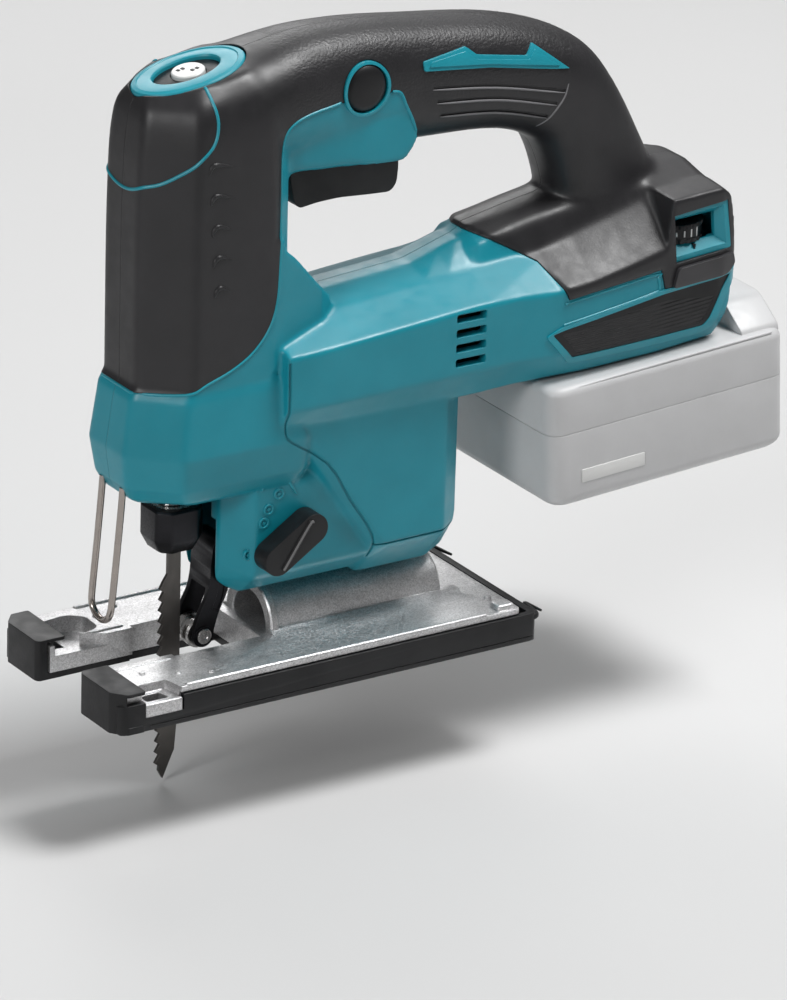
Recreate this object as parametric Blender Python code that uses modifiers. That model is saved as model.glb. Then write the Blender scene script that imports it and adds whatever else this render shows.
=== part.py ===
"""Cordless D-handle jigsaw, built as separate sub-parts at their real size.

Frame: origin at the centre of the sole, +Z up, -X towards the blade, -Y the side with the orbital lever.
All sizes are in metres.
"""

import math

import bmesh
import bpy
from mathutils import Matrix, Vector

# Driving dimensions
GAP = 0.0003                      # clearance between pieces that touch
WALL = 0.0024                     # housing wall
SKIN = 0.0015                     # soft overmould thickness

BASE_LENGTH = 0.166
BASE_WIDTH = 0.077
BASE_TOP = 0.013
COVER_TOP = 0.0103
COVER_FLOOR = 0.0025
COVER_SIDE = 0.0022
SLOT_HALF = 0.0125                # half width of the gap between the horns
SLOT_END = -0.041
BLADE_ROOM_HALF = 0.0145          # lets the base tilt 45 degrees past the blade
TUNNEL_RADIUS = 0.013             # outside of the dust tunnel, also the base's tilt cylinder
TUNNEL_WALL = 0.0026
TUNNEL_X = (-0.0096, 0.060)

MOTOR_TILT = math.radians(3.9)
MOTOR_AXIS_AT = Vector((0.040, 0.0, 0.1092))
MOTOR_DIRECTION = Vector((math.cos(MOTOR_TILT), 0.0, math.sin(MOTOR_TILT)))
GEAR_MODULE = 0.0009
PINION_TEETH = 9
CRANK_TEETH = 40
CRANK_RADIUS = 0.013              # half of the 26 mm stroke
GEARS_ALONG = -0.0620             # place of both gears on the motor axis, from MOTOR_AXIS_AT

PLUNGER_X = -0.041
PLUNGER_RADIUS = 0.0045
YOKE_Z = 0.1270
BLADE_X = (-0.0442, -0.0372)
BLADE_THICKNESS = 0.0013
BLADE_TIP_Z = -0.039
CLAMP_Z = (0.046, 0.062)
CLAMP_RADIUS = 0.0105

DISC_AT = Vector((-0.0376, 0.0, 0.2135))
DISC_TILT = math.radians(12)
DISC_HALF = (0.0205, 0.0143)
RECESS_HALF = (0.0132, 0.0092)
MODE_BUTTON_RADIUS = 0.0057

LOCK_AT = (0.0206, 0.2030)        # x, z of the lock button
LOCK_RADIUS = 0.0080
DIAL_AT = Vector((0.1450, -0.0205, 0.1345))
DIAL_RADIUS = 0.0130
DIAL_HEIGHT = 0.0070
LEVER_AT = Vector((-0.0100, 0.0, 0.0508))
LEVER_REST = math.radians(33)
ROLLER_AT = Vector((-0.0315, 0.0, 0.0135))
ROLLER_RADIUS = 0.0053
FORK_PIVOT = Vector((-0.0245, 0.0, 0.0440))

BATTERY_SLOPE = math.radians(3.4)
BATTERY_AT = Vector((0.086, 0.0, 0.0893))     # front end of the case's top, on the centre plane
BATTERY_SIZE = (0.098, 0.074, 0.0445)
RAIL_HALF = 0.020
RAIL_HEIGHT = 0.0075

SCREW_PLACES = (                  # x, z and the y of the housing's outer face there
    (-0.0520, 0.0900, 0.0235), (0.0000, 0.0800, 0.0250), (0.0480, 0.0520, 0.0250),
    (0.1200, 0.1120, 0.0315), (0.0600, 0.1900, 0.0160),
)

COLOURS = {
    "teal": ((0.017, 0.253, 0.337), 0.38, 0.0),
    "rubber": ((0.028, 0.027, 0.029), 0.62, 0.0),
    "black_plastic": ((0.022, 0.021, 0.023), 0.42, 0.0),
    "white_plastic": ((0.80, 0.80, 0.80), 0.40, 0.0),
    "cast_aluminium": ((0.62, 0.62, 0.62), 0.42, 1.0),
    "steel": ((0.55, 0.55, 0.56), 0.32, 1.0),
    "blade_steel": ((0.20, 0.19, 0.18), 0.40, 1.0),
    "black_steel": ((0.03, 0.03, 0.032), 0.40, 0.6),
    "copper": ((0.55, 0.25, 0.12), 0.40, 1.0),
    "brass": ((0.60, 0.45, 0.18), 0.35, 1.0),
    "board_green": ((0.02, 0.12, 0.05), 0.50, 0.0),
    "lens": ((0.85, 0.87, 0.88), 0.15, 0.0),
    "battery_grey": ((0.52, 0.52, 0.52), 0.45, 0.0),
}


# Scene and material helpers

def clear_scene():
    for obj in list(bpy.data.objects):
        bpy.data.objects.remove(obj, do_unlink=True)


def collection(name):
    found = bpy.data.collections.new(name)
    bpy.context.scene.collection.children.link(found)
    return found


def material(name):
    if name in bpy.data.materials:
        return bpy.data.materials[name]
    colour, roughness, metallic = COLOURS[name]
    made = bpy.data.materials.new(name)
    made.use_nodes = True
    shader = made.node_tree.nodes["Principled BSDF"]
    shader.inputs["Base Color"].default_value = (*colour, 1.0)
    shader.inputs["Roughness"].default_value = roughness
    shader.inputs["Metallic"].default_value = metallic
    return made


def add_object(name, mesh, finish=None):
    """A visible part when it has a finish, or else a hidden cutter or guide."""
    obj = bpy.data.objects.new(name, mesh)
    if finish:
        PARTS.objects.link(obj)
        mesh.materials.append(material(finish))
        mesh.shade_smooth()
        mesh.set_sharp_from_angle(angle=math.radians(32))
    else:
        CUTTERS.objects.link(obj)
        obj.hide_render = True
        obj.display_type = "WIRE"
    return obj


def mesh_of(name, build):
    mesh = bpy.data.meshes.new(name)
    bm = bmesh.new()
    build(bm)
    bmesh.ops.recalc_face_normals(bm, faces=bm.faces)
    bm.to_mesh(mesh)
    bm.free()
    return mesh


# Shapes

def box(name, low, high, finish=None, bevel=0.0):
    centre = [(a + b) / 2 for a, b in zip(low, high)]
    size = [b - a for a, b in zip(low, high)]

    def build(bm):
        made = bmesh.ops.create_cube(bm, size=1.0)
        bmesh.ops.scale(bm, vec=size, verts=made["verts"])

    obj = add_object(name, mesh_of(name, build), finish)
    obj.location = centre
    if bevel:
        round_edges(obj, bevel)
    return obj


def round_edges(obj, width, segments=2, angle=30):
    made = obj.modifiers.new("rounding", "BEVEL")
    made.width = width
    made.segments = segments
    made.limit_method = "ANGLE"
    made.angle_limit = math.radians(angle)


def cylinder(name, start, end, radius, finish=None, sides=24, end_radius=None):
    start, end = Vector(start), Vector(end)
    axis = end - start

    def build(bm):
        bmesh.ops.create_cone(
            bm, cap_ends=True, segments=sides, radius1=radius,
            radius2=radius if end_radius is None else end_radius, depth=axis.length)

    obj = add_object(name, mesh_of(name, build), finish)
    obj.location = (start + end) / 2
    obj.rotation_euler = axis.to_track_quat("Z", "Y").to_euler()
    return obj


def turned(name, at, axis, profile, finish=None, steps=28):
    """A shape turned about an axis. The profile lists (radius, height) down its outer side first."""
    mesh = bpy.data.meshes.new(name)
    bm = bmesh.new()
    corners = [bm.verts.new((radius, 0.0, height)) for radius, height in profile]
    closed = profile[0][0] > 0 and profile[-1][0] > 0
    for a, b in zip(corners, corners[1:] + corners[:1] if closed else corners[1:]):
        bm.edges.new((a, b))
    bm.to_mesh(mesh)
    bm.free()
    obj = add_object(name, mesh, finish)
    obj.location = at
    obj.rotation_euler = Vector(axis).to_track_quat("Z", "Y").to_euler()
    screw = obj.modifiers.new("turn", "SCREW")
    screw.steps = steps
    screw.render_steps = steps
    screw.use_merge_vertices = True
    screw.merge_threshold = 0.00001
    return obj


def sleeve(name, start, end, inner, outer, finish=None, steps=24):
    """A plain bush from start to end."""
    start, end = Vector(start), Vector(end)
    axis = end - start
    half = axis.length / 2
    profile = [(outer, half), (outer, -half), (inner, -half), (inner, half)]
    return turned(name, (start + end) / 2, axis, profile, finish, steps)


def plate(name, outline, low, high, plane="XZ", finish=None):
    """A flat outline extruded between two levels along the plane's normal."""
    curve = bpy.data.curves.new(name, "CURVE")
    curve.dimensions = "2D"
    curve.fill_mode = "BOTH"
    curve.extrude = (high - low) / 2
    spline = curve.splines.new("POLY")
    spline.points.add(len(outline) - 1)
    for point, (u, v) in zip(spline.points, outline):
        point.co = (u, v, 0.0, 1.0)
    spline.use_cyclic_u = True
    middle = (low + high) / 2
    turn = {"XY": Matrix(), "XZ": Matrix.Rotation(math.pi / 2, 4, "X"),
            "YZ": Matrix(((0, 0, 1, 0), (1, 0, 0, 0), (0, 1, 0, 0), (0, 0, 0, 1)))}[plane]
    place = {"XY": (0, 0, middle), "XZ": (0, middle, 0), "YZ": (middle, 0, 0)}[plane]
    return from_curve(name, curve, Matrix.Translation(place) @ turn, finish)


def from_curve(name, curve, matrix, finish):
    """The curve's evaluated mesh, with its caps welded on."""
    guide = bpy.data.objects.new(name + "_curve", curve)
    CUTTERS.objects.link(guide)
    bpy.context.view_layer.update()
    evaluated = guide.evaluated_get(bpy.context.evaluated_depsgraph_get())
    mesh = bpy.data.meshes.new_from_object(evaluated)
    bpy.data.objects.remove(guide, do_unlink=True)
    bm = bmesh.new()
    bm.from_mesh(mesh)
    bmesh.ops.remove_doubles(bm, verts=bm.verts, dist=0.00001)
    bmesh.ops.recalc_face_normals(bm, faces=bm.faces)
    bm.to_mesh(mesh)
    bm.free()
    obj = add_object(name, mesh, finish)
    obj.matrix_basis = matrix
    return obj


def wire(name, route, radius, finish, sides=2):
    curve = bpy.data.curves.new(name, "CURVE")
    curve.dimensions = "3D"
    curve.bevel_depth = radius
    curve.bevel_resolution = sides
    curve.use_fill_caps = True
    spline = curve.splines.new("POLY")
    spline.points.add(len(route) - 1)
    for point, at in zip(spline.points, route):
        point.co = (*at, 1.0)
    return from_curve(name, curve, Matrix(), finish)


def loft(name, rings, finish=None):
    """A closed body through rings with the same number of points, capped at both ends."""
    def build(bm):
        levels = [[bm.verts.new(point) for point in ring] for ring in rings]
        for lower, upper in zip(levels, levels[1:]):
            for i, corner in enumerate(lower):
                j = (i + 1) % len(lower)
                bm.faces.new((corner, lower[j], upper[j], upper[i]))
        bm.faces.new(levels[0])
        bm.faces.new(levels[-1])
        bmesh.ops.triangulate(bm, faces=bm.faces)

    obj = add_object(name, mesh_of(name, build), finish)
    obj["lofted"] = True
    return obj


def boolean(obj, operation, other):
    """Lofts cross at shallow angles, where EXACT leaves open edges and MANIFOLD doesn't."""
    lofted = "lofted" in obj or "lofted" in other
    if lofted:
        obj["lofted"] = True
    made = obj.modifiers.new(operation.lower(), "BOOLEAN")
    made.operation = operation
    made.object = other
    made.solver = "MANIFOLD" if lofted else "EXACT"
    return obj


def cut(obj, *cutters):
    for cutter in cutters:
        boolean(obj, "DIFFERENCE", cutter)
    return obj


def join(obj, *others):
    for other in others:
        boolean(obj, "UNION", other)
    return obj


def keep(obj, region):
    return boolean(obj, "INTERSECT", region)


def tilted(centre, tilt):
    """A frame at a centre whose X and Z are turned about Y, nose down for a positive tilt."""
    return Matrix.Translation(centre) @ Matrix.Rotation(-tilt, 4, "Y")


def place(obj, matrix):
    """Moves an object with every cutter and added shape that its modifiers use."""
    obj.matrix_basis = matrix @ obj.matrix_basis
    for modifier in obj.modifiers:
        if modifier.type == "BOOLEAN":
            place(modifier.object, matrix)
    return obj


def motor_point(along, lift=0.0):
    """A point at a distance behind MOTOR_AXIS_AT on the motor axis, raised square to it."""
    up = Vector((-math.sin(MOTOR_TILT), 0.0, math.cos(MOTOR_TILT)))
    return MOTOR_AXIS_AT + MOTOR_DIRECTION * along + up * lift


# The body's outer form, as lofts that can be grown or shrunk by an offset

def wedge_ring(z, front, half, rear, grow, lean=0.0):
    """Plan of the column and nose: a flat front, two diagonals, flat sides and a narrower back."""
    front_half, shoulder, back = 0.44 * half, front + 0.0145, rear - 0.010
    plan = [
        (front - grow, front_half + 0.4 * grow),
        (shoulder - 0.4 * grow, half + grow),
        (back + 0.4 * grow, half + grow),
        (rear + grow, half - 0.009 + 0.4 * grow),
    ]
    plan += [(x, -y) for x, y in reversed(plan)]
    return [(x, y, z + lean * (x - DISC_AT.x)) for x, y in plan]


COLUMN_ROWS = (                   # height, front, half width, rear, lean of the ring
    (0.104, -0.0620, 0.0240, -0.0065, 0.00),
    (0.186, -0.0615, 0.0240, -0.0070, 0.00),
    (0.199, -0.0600, 0.0235, -0.0080, 0.05),
    (0.207, -0.0580, 0.0210, -0.0100, 0.12),
    (0.2125, -0.0560, 0.0165, -0.0150, 0.20),
)
NOSE_ROWS = (
    (0.0685, -0.0610, 0.0225, 0.004, 0.0),
    (0.0740, -0.0655, 0.0250, 0.006, 0.0),
    (0.0875, -0.0670, 0.0260, 0.006, 0.0),
    (0.1080, -0.0640, 0.0245, -0.002, 0.0),
    (0.1140, -0.0615, 0.0230, -0.010, 0.0),
)


def wedge_form(name, rows, grow):
    rings = []
    for row, (z, front, half, rear, lean) in enumerate(rows):
        shift = -grow if row == 0 else grow if row == len(rows) - 1 else 0.0
        rings.append(wedge_ring(z + shift, front, half, rear, grow, lean))
    return loft(name, rings)


def barrel_ring(x, top, crown, shoulder, belly, bottom, half_top, half, half_bottom, grow):
    """A section across the barrel: crest, crowned top, chamfer, flat side and tucked-in belly."""
    side = [(0.35 * half_top + 0.2 * grow, top + grow), (half_top + 0.3 * grow, top - crown + grow),
            (half + grow, shoulder + 0.4 * grow), (half + grow, belly - 0.4 * grow),
            (half_bottom + 0.4 * grow, bottom - grow)]
    side += [(-y, z) for y, z in reversed(side)]
    return [(x, y, z) for y, z in side]


# Rows: x, top, crown, shoulder, belly, bottom, half top, half width, half bottom
BARREL_ROWS = (
    (-0.0140, 0.1165, 0.0010, 0.1150, 0.0985, 0.0880, 0.0200, 0.0285, 0.0230),
    (0.0040, 0.1295, 0.0045, 0.1185, 0.0990, 0.0880, 0.0150, 0.0300, 0.0235),
    (0.0600, 0.1330, 0.0045, 0.1235, 0.1000, 0.0890, 0.0150, 0.0305, 0.0240),
    (0.1000, 0.1360, 0.0045, 0.1240, 0.1010, 0.0915, 0.0150, 0.0310, 0.0260),
)
SHROUD_ROWS = (
    (0.0640, 0.1360, 0.0030, 0.1230, 0.1005, 0.0895, 0.0120, 0.0290, 0.0240),
    (0.0700, 0.1405, 0.0030, 0.1230, 0.1005, 0.0900, 0.0120, 0.0300, 0.0250),
    (0.1050, 0.1470, 0.0030, 0.1240, 0.1000, 0.0915, 0.0130, 0.0325, 0.0290),
    (0.1340, 0.1520, 0.0020, 0.1420, 0.1010, 0.0930, 0.0180, 0.0325, 0.0300),
    (0.1570, 0.1515, 0.0020, 0.1460, 0.1020, 0.0945, 0.0200, 0.0320, 0.0290),
    (0.1640, 0.1470, 0.0020, 0.1420, 0.1150, 0.1080, 0.0190, 0.0300, 0.0270),
    (0.1690, 0.1425, 0.0010, 0.1380, 0.1240, 0.1190, 0.0150, 0.0220, 0.0190),
)
LOWER_ROWS = (
    (-0.0120, 0.1000, 0.0010, 0.0950, 0.0410, 0.0275, 0.0230, 0.0235, 0.0125),
    (-0.0080, 0.1020, 0.0010, 0.0950, 0.0410, 0.0275, 0.0250, 0.0250, 0.0130),
    (0.0520, 0.1020, 0.0010, 0.0950, 0.0410, 0.0275, 0.0250, 0.0250, 0.0130),
    (0.0600, 0.1000, 0.0010, 0.0930, 0.0430, 0.0300, 0.0190, 0.0195, 0.0110),
)
GEARBOX_ROWS = (
    (-0.0290, 0.0760, 0.0010, 0.0690, 0.0400, 0.0330, 0.0070, 0.0110, 0.0080),
    (-0.0210, 0.0780, 0.0010, 0.0700, 0.0380, 0.0290, 0.0165, 0.0215, 0.0115),
    (0.0280, 0.0780, 0.0010, 0.0700, 0.0380, 0.0290, 0.0165, 0.0215, 0.0115),
)


LOWER_RAKE = 0.0364               # how far the lower housing's front edge runs back at its foot


def barrel_form(name, rows, grow, rake=0.0):
    """A loft along X. Its first two rings may be raked back below their shoulder."""
    rings = []
    for row, (x, *rest) in enumerate(rows):
        shift = -grow if row == 0 else grow if row == len(rows) - 1 else 0.0
        ring = barrel_ring(x + shift, *rest, grow)
        if row < 2:
            ring = [(px + rake * (2 < i < 7), y, z) for i, (px, y, z) in enumerate(ring)]
        rings.append(ring)
    return loft(name, rings)


HANDLE_ROWS = (                   # x, z, slope in degrees, half height, half width
    (-0.0330, 0.1980, 2.0, 0.0185, 0.0185),
    (0.0000, 0.2005, 0.0, 0.0215, 0.0178),
    (0.0450, 0.1985, -1.5, 0.0210, 0.0170),
    (0.0800, 0.1950, -6.0, 0.0195, 0.0165),
    (0.1035, 0.1865, -26.0, 0.0190, 0.0165),
    (0.1145, 0.1735, -50.0, 0.0183, 0.0165),
    (0.1225, 0.1560, -62.0, 0.0195, 0.0175),
    (0.1280, 0.1420, -66.0, 0.0210, 0.0200),
)
HANDLE_SIDES = 12
HANDLE_SQUARENESS = 2.7


def rounded(angle, half_a, half_b, power):
    """A point on a superellipse."""
    c, s = math.cos(angle), math.sin(angle)
    return (half_a * math.copysign(abs(c) ** (2 / power), c),
            half_b * math.copysign(abs(s) ** (2 / power), s))


def handle_form(name, grow):
    rings = []
    for x, z, slope, half_height, half_width in HANDLE_ROWS:
        turn = math.radians(slope)
        ring = []
        for i in range(HANDLE_SIDES):
            angle = 2 * math.pi * (i + 0.5) / HANDLE_SIDES
            y, lift = rounded(angle, half_width + grow, half_height + grow, HANDLE_SQUARENESS)
            ring.append((x - lift * math.sin(turn), y, z + lift * math.cos(turn)))
        rings.append(ring)
    return loft(name, rings)


def guard_form(name, grow):
    """The cheeks beside the trigger, under the front of the handle."""
    low = (-0.0120 - grow, -0.0150 - grow, 0.1755 - grow)
    high = (0.0455 + grow, 0.0150 + grow, 0.1920 + grow)
    return box(name, low, high, bevel=0.003)


def whole_form(tag, grow):
    """One hidden body: the union of every region of the housing at this offset."""
    column = wedge_form(f"column_{tag}", COLUMN_ROWS, grow)
    return join(
        column,
        wedge_form(f"nose_{tag}", NOSE_ROWS, grow),
        barrel_form(f"gearbox_{tag}", GEARBOX_ROWS, grow),
        barrel_form(f"lower_{tag}", LOWER_ROWS, grow, LOWER_RAKE),
        barrel_form(f"barrel_{tag}", BARREL_ROWS, grow),
        barrel_form(f"shroud_{tag}", SHROUD_ROWS, grow),
        handle_form(f"handle_{tag}", grow),
        guard_form(f"guard_{tag}", grow),
    )


# Side outlines, in x and z

def arc(centre, radius, start, end, steps):
    angles = [math.radians(start + (end - start) * i / steps) for i in range(steps + 1)]
    return [(centre[0] + radius * math.cos(a), centre[1] + radius * math.sin(a)) for a in angles]


def teal_outline(grow):
    """The area of the side view where the hard housing shows: all of it but the soft overmould."""
    column_edge = [(-0.090, 0.1085), (-0.050, 0.1100), (-0.0430, 0.1130), (-0.0316, 0.1165),
                   (-0.0220, 0.1230), (-0.0165, 0.1327), (-0.0150, 0.1500), (-0.0142, 0.1880),
                   (-0.0120, 0.1950), (-0.0066, 0.1980), (0.0080, 0.2000)]
    button_edge = arc(LOCK_AT, LOCK_RADIUS + 0.0016, 200, -30, 10)
    cheek_edge = [(0.0385, 0.1975), (0.0440, 0.1900), (0.0480, 0.1760), (0.0480, 0.1600)]
    shroud_edge = [(0.0660, 0.1440), (0.0920, 0.1220), (0.0955, 0.1185), (0.1324, 0.1247),
                   (0.1348, 0.1180), (0.0919, 0.1133), (0.0880, 0.1075), (0.0960, 0.0915)]
    under = [(0.0960, 0.0100), (-0.090, 0.0100)]
    outline = column_edge + button_edge + cheek_edge + shroud_edge + under
    if not grow:
        return outline
    return offset_outline(outline, grow)


def offset_outline(outline, grow):
    """The outline moved outwards square to its edges; its points run clockwise."""
    moved = []
    for before, at, after in zip(outline[-1:] + outline[:-1], outline, outline[1:] + outline[:1]):
        first = Vector((at[0] - before[0], at[1] - before[1])).normalized()
        second = Vector((after[0] - at[0], after[1] - at[1])).normalized()
        normal = (Vector((-first.y, first.x)) + Vector((-second.y, second.x))).normalized()
        moved.append((at[0] + normal.x * grow, at[1] + normal.y * grow))
    return moved


# Housing halves and overmoulds

HALF_SPACES = {"left": (-0.060, -GAP / 2), "right": (GAP / 2, 0.060)}


def battery_plane_cut(name, clearance):
    """Everything at and below the battery's top, and the channel that its rail slides in."""
    length, width, height = BATTERY_SIZE
    below = box(name, (-0.002, -0.060, -0.080), (0.150, 0.060, clearance))
    place(below, tilted(BATTERY_AT, BATTERY_SLOPE))
    return below


def rail_channel(name):
    channel = box(name, (-0.004, -RAIL_HALF - 0.0012, -0.010),
                  (0.150, RAIL_HALF + 0.0012, RAIL_HEIGHT + 0.0015))
    place(channel, tilted(BATTERY_AT, BATTERY_SLOPE))
    return channel


def housing_cutters(tag):
    """Openings through the housing wall for the pieces that come out of it."""
    wheel_room = cylinder("dial_room", DIAL_AT - Vector((0, 0, 0.0048)),
                          DIAL_AT + Vector((0, 0, 0.0048)), DIAL_RADIUS + 0.0010)
    wheel_window = box("dial_window", (0.1365, -0.040, 0.1300), (0.1535, -0.026, 0.1390))
    cutters = [
        cylinder("lock_hole", (LOCK_AT[0], -0.05, LOCK_AT[1]), (LOCK_AT[0], 0.05, LOCK_AT[1]),
                 LOCK_RADIUS + 0.0004),
        box("trigger_slot", (-0.0045, -0.0098, 0.150), (0.0425, 0.0098, 0.1950)),
        cylinder("plunger_hole", (PLUNGER_X, 0, 0.040), (PLUNGER_X, 0, 0.082), CLAMP_RADIUS + 0.0012),
        box("blade_way", (-0.0470, -0.0060, 0.0200), (-0.0171, 0.0060, 0.0655)),
        box("fork_room", (-0.0362, -0.0090, 0.0195), (-0.0140, 0.0090, 0.0563)),
        place(cylinder("mode_well", (0, 0, -0.020), (0, 0, 0.020), 0.0085),
              tilted(DISC_AT, DISC_TILT)),
        place(plate("ring_seat", oval(DISC_HALF[0] + GAP, DISC_HALF[1] + GAP, 36), -0.0008, 0.0100, "XY"),
              tilted(DISC_AT, DISC_TILT)),
        wheel_room,
        wheel_window,
        cylinder("lever_hole", (LEVER_AT.x, -0.05, LEVER_AT.z), (LEVER_AT.x, -0.012, LEVER_AT.z), 0.0046),
        box("wrench_room", (0.0500, -0.0030, 0.0630), (0.0750, 0.0030, 0.0920)),
        box("lamp_hole", (-0.0263, -0.0042, 0.0592), (-0.0177, 0.0042, 0.0760)),
        rail_channel("rail_channel"),
        battery_plane_cut("battery_clearance", 0.0006),
    ]
    for side in (-1, 1):
        for i in range(4):
            low, high = sorted((side * 0.0240, side * 0.0400))
            level = 0.1030 + 0.0053 * i
            cutters.append(box(f"vent_{side}_{i}", (0.0510, low, level), (0.0630, high, level + 0.0030)))
        cutters.append(cylinder(f"guard_hole_{side}", (-0.0640, side * 0.0065, 0.0600),
                                (-0.0640, side * 0.0065, 0.0800), 0.0016, sides=12))
    return cutters


def make_housing():
    """Two hard halves with the soft overmould set into them. Each pair meets on the centre plane."""
    teal_region = plate("teal_region", teal_outline(0.0), -0.070, 0.070)
    soft_edge = plate("soft_edge", teal_outline(GAP), -0.070, 0.070)
    shell = keep(whole_form("outer", 0.0), teal_region)
    join(shell, whole_form("core", -SKIN - GAP))
    cut(shell, whole_form("cavity", -SKIN - GAP - WALL), *housing_cutters("shell"))
    skin = cut(whole_form("skin", 0.0), whole_form("skin_back", -SKIN), soft_edge)
    cut(skin, *housing_cutters("skin"))
    for side, (low, high) in HALF_SPACES.items():
        corners = (-0.120, low, 0.0), (0.220, high, 0.260)
        keep(box(f"housing_{side}", *corners, "teal"), shell)
        keep(box(f"overmould_{side}", *corners, "rubber"), skin)


# Top of the column, handle trim and controls

def oval(half_x, half_y, steps):
    angles = [2 * math.pi * i / steps for i in range(steps)]
    return [(half_x * math.cos(a), half_y * math.sin(a)) for a in angles]


def oval_wall(name, half, hole, low, high, finish):
    """A flat oval, with an oval hole when one is given."""
    wall = plate(name, oval(*half, 36), low, high, "XY", finish)
    if hole:
        cut(wall, plate(f"{name}_hole", oval(*hole, 32), low - 0.001, high + 0.001, "XY"))
    return wall


def make_top():
    """The oval ring set on top of the column, the panel inside it and the round mode button."""
    frame = tilted(DISC_AT, DISC_TILT)
    ring = oval_wall("top_ring", DISC_HALF, RECESS_HALF, -0.0005, 0.0022, "teal")
    place(ring, frame)
    panel_half = (RECESS_HALF[0] - GAP, RECESS_HALF[1] - GAP)
    button_hole = (MODE_BUTTON_RADIUS + GAP, MODE_BUTTON_RADIUS + GAP)
    place(oval_wall("mode_panel", panel_half, button_hole, 0.0, 0.0010, "black_plastic"), frame)
    profile = [(0, 0.0018), (MODE_BUTTON_RADIUS - 0.0006, 0.0018), (MODE_BUTTON_RADIUS, 0.0012),
               (MODE_BUTTON_RADIUS, -0.0070), (0, -0.0070)]
    place(turned("mode_button", (0, 0, 0), (0, 0, 1), profile, "white_plastic"), frame)


def make_controls():
    x, z = LOCK_AT
    cylinder("lock_button", (x, -0.0186, z), (x, 0.0186, z), LOCK_RADIUS, "black_plastic", sides=32)
    paddle = [(-0.0022, 0.1715), (-0.0022, 0.1790), (0.0395, 0.1790), (0.0400, 0.1640),
              (0.0375, 0.1615), (0.0170, 0.1630), (0.0020, 0.1618)]
    round_edges(plate("trigger", paddle, -0.0085, 0.0085, finish="black_plastic"), 0.0012)
    box("switch_unit", (0.0000, -0.0075, 0.1850), (0.0330, 0.0075, 0.1930), "black_plastic", 0.0008)
    make_speed_dial()
    make_orbital_lever()


def make_speed_dial():
    """A ribbed wheel standing in its window, numbered round its rim."""
    half = DIAL_HEIGHT / 2
    rim = [(DIAL_RADIUS * (1.0 if i % 2 else 0.97) * math.cos(math.pi * i / 30),
            DIAL_RADIUS * (1.0 if i % 2 else 0.97) * math.sin(math.pi * i / 30)) for i in range(60)]
    wheel = plate("speed_dial", rim, -half, half, "XY", "black_plastic")
    wheel.location = DIAL_AT


def make_orbital_lever():
    """The four-position lever on the gearbox side, with its shaft through the wall."""
    x, z = LEVER_AT.x, LEVER_AT.z
    half_length, half_width = 0.0080, 0.0054
    c, s = math.cos(LEVER_REST), math.sin(LEVER_REST)
    ends = arc((half_length, 0), half_width, -90, 90, 8) + arc((-half_length, 0), half_width, 90, 270, 8)
    outline = [(x + u * c - v * s, z + u * s + v * c) for u, v in ends]
    knob = plate("orbital_lever", outline, -0.0302, -0.0222, finish="black_plastic")
    join(knob, cylinder("lever_shaft", (x, -0.0230, z), (x, -0.0120, z), 0.0042))


def make_handle_trim():
    """The wing-shaped accent low on each side of the handle's soft skin."""
    wing = [(0.0440, 0.2050), (0.0436, 0.2085), (0.0610, 0.2105), (0.0650, 0.2072),
            (0.0850, 0.2040), (0.0880, 0.2075), (0.1000, 0.1975), (0.0960, 0.1975)]
    for side, low in (("left", -0.0181), ("right", 0.0168)):
        trim = plate(f"handle_accent_{side}", wing, low, low + 0.0013, finish="teal")
        round_edges(trim, 0.0003, segments=1)


# Motor, gears and plunger

def gear_outline(teeth, module, phase):
    """Straight-flanked teeth, thinner than half the pitch so that a meshed pair runs free."""
    pitch_radius = teeth * module / 2
    pitch_angle = 2 * math.pi / teeth
    root, tip = pitch_radius - 1.15 * module, pitch_radius + 0.80 * module
    shape = ((root, -0.30), (tip, -0.11), (tip, 0.11), (root, 0.30))
    return [(radius * math.cos(pitch_angle * (i + share) + phase),
             radius * math.sin(pitch_angle * (i + share) + phase))
            for i in range(teeth) for radius, share in shape]


def motor_frame(along, lift=0.0):
    """A frame on the motor axis whose Z runs rearwards along it and whose X points up."""
    turn = Matrix((( -math.sin(MOTOR_TILT), 0, math.cos(MOTOR_TILT), 0), (0, -1, 0, 0),
                   (math.cos(MOTOR_TILT), 0, math.sin(MOTOR_TILT), 0), (0, 0, 0, 1)))
    return Matrix.Translation(motor_point(along, lift)) @ turn


def make_motor():
    stator = sleeve("motor_stator", motor_point(0.012), motor_point(0.040), 0.0098, 0.0165, "copper", 32)
    for i in range(6):
        angle = 2 * math.pi * i / 6
        slot = box(f"stator_slot_{i}", (0.0090, -0.0016, -0.020), (0.0140, 0.0016, 0.020))
        place(slot, motor_frame(0.026) @ Matrix.Rotation(angle, 4, "Z"))
        cut(stator, slot)
    sleeve("rotor_core", motor_point(0.0120), motor_point(0.0400), 0.0028, 0.0092, "steel", 28)
    cylinder("rotor_shaft", motor_point(-0.0680), motor_point(0.0520), 0.0025, "steel")
    sleeve("front_bearing", motor_point(-0.0450), motor_point(-0.0390), 0.0028, 0.0090, "steel")
    sleeve("rear_bearing", motor_point(0.0460), motor_point(0.0515), 0.0028, 0.0080, "steel")
    make_fan()
    pinion = plate("pinion", gear_outline(PINION_TEETH, GEAR_MODULE, 0.0), -0.005, 0.005, "XY", "steel")
    cut(pinion, cylinder("pinion_bore", (0, 0, -0.01), (0, 0, 0.01), 0.0028, sides=20))
    place(pinion, motor_frame(GEARS_ALONG))


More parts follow.
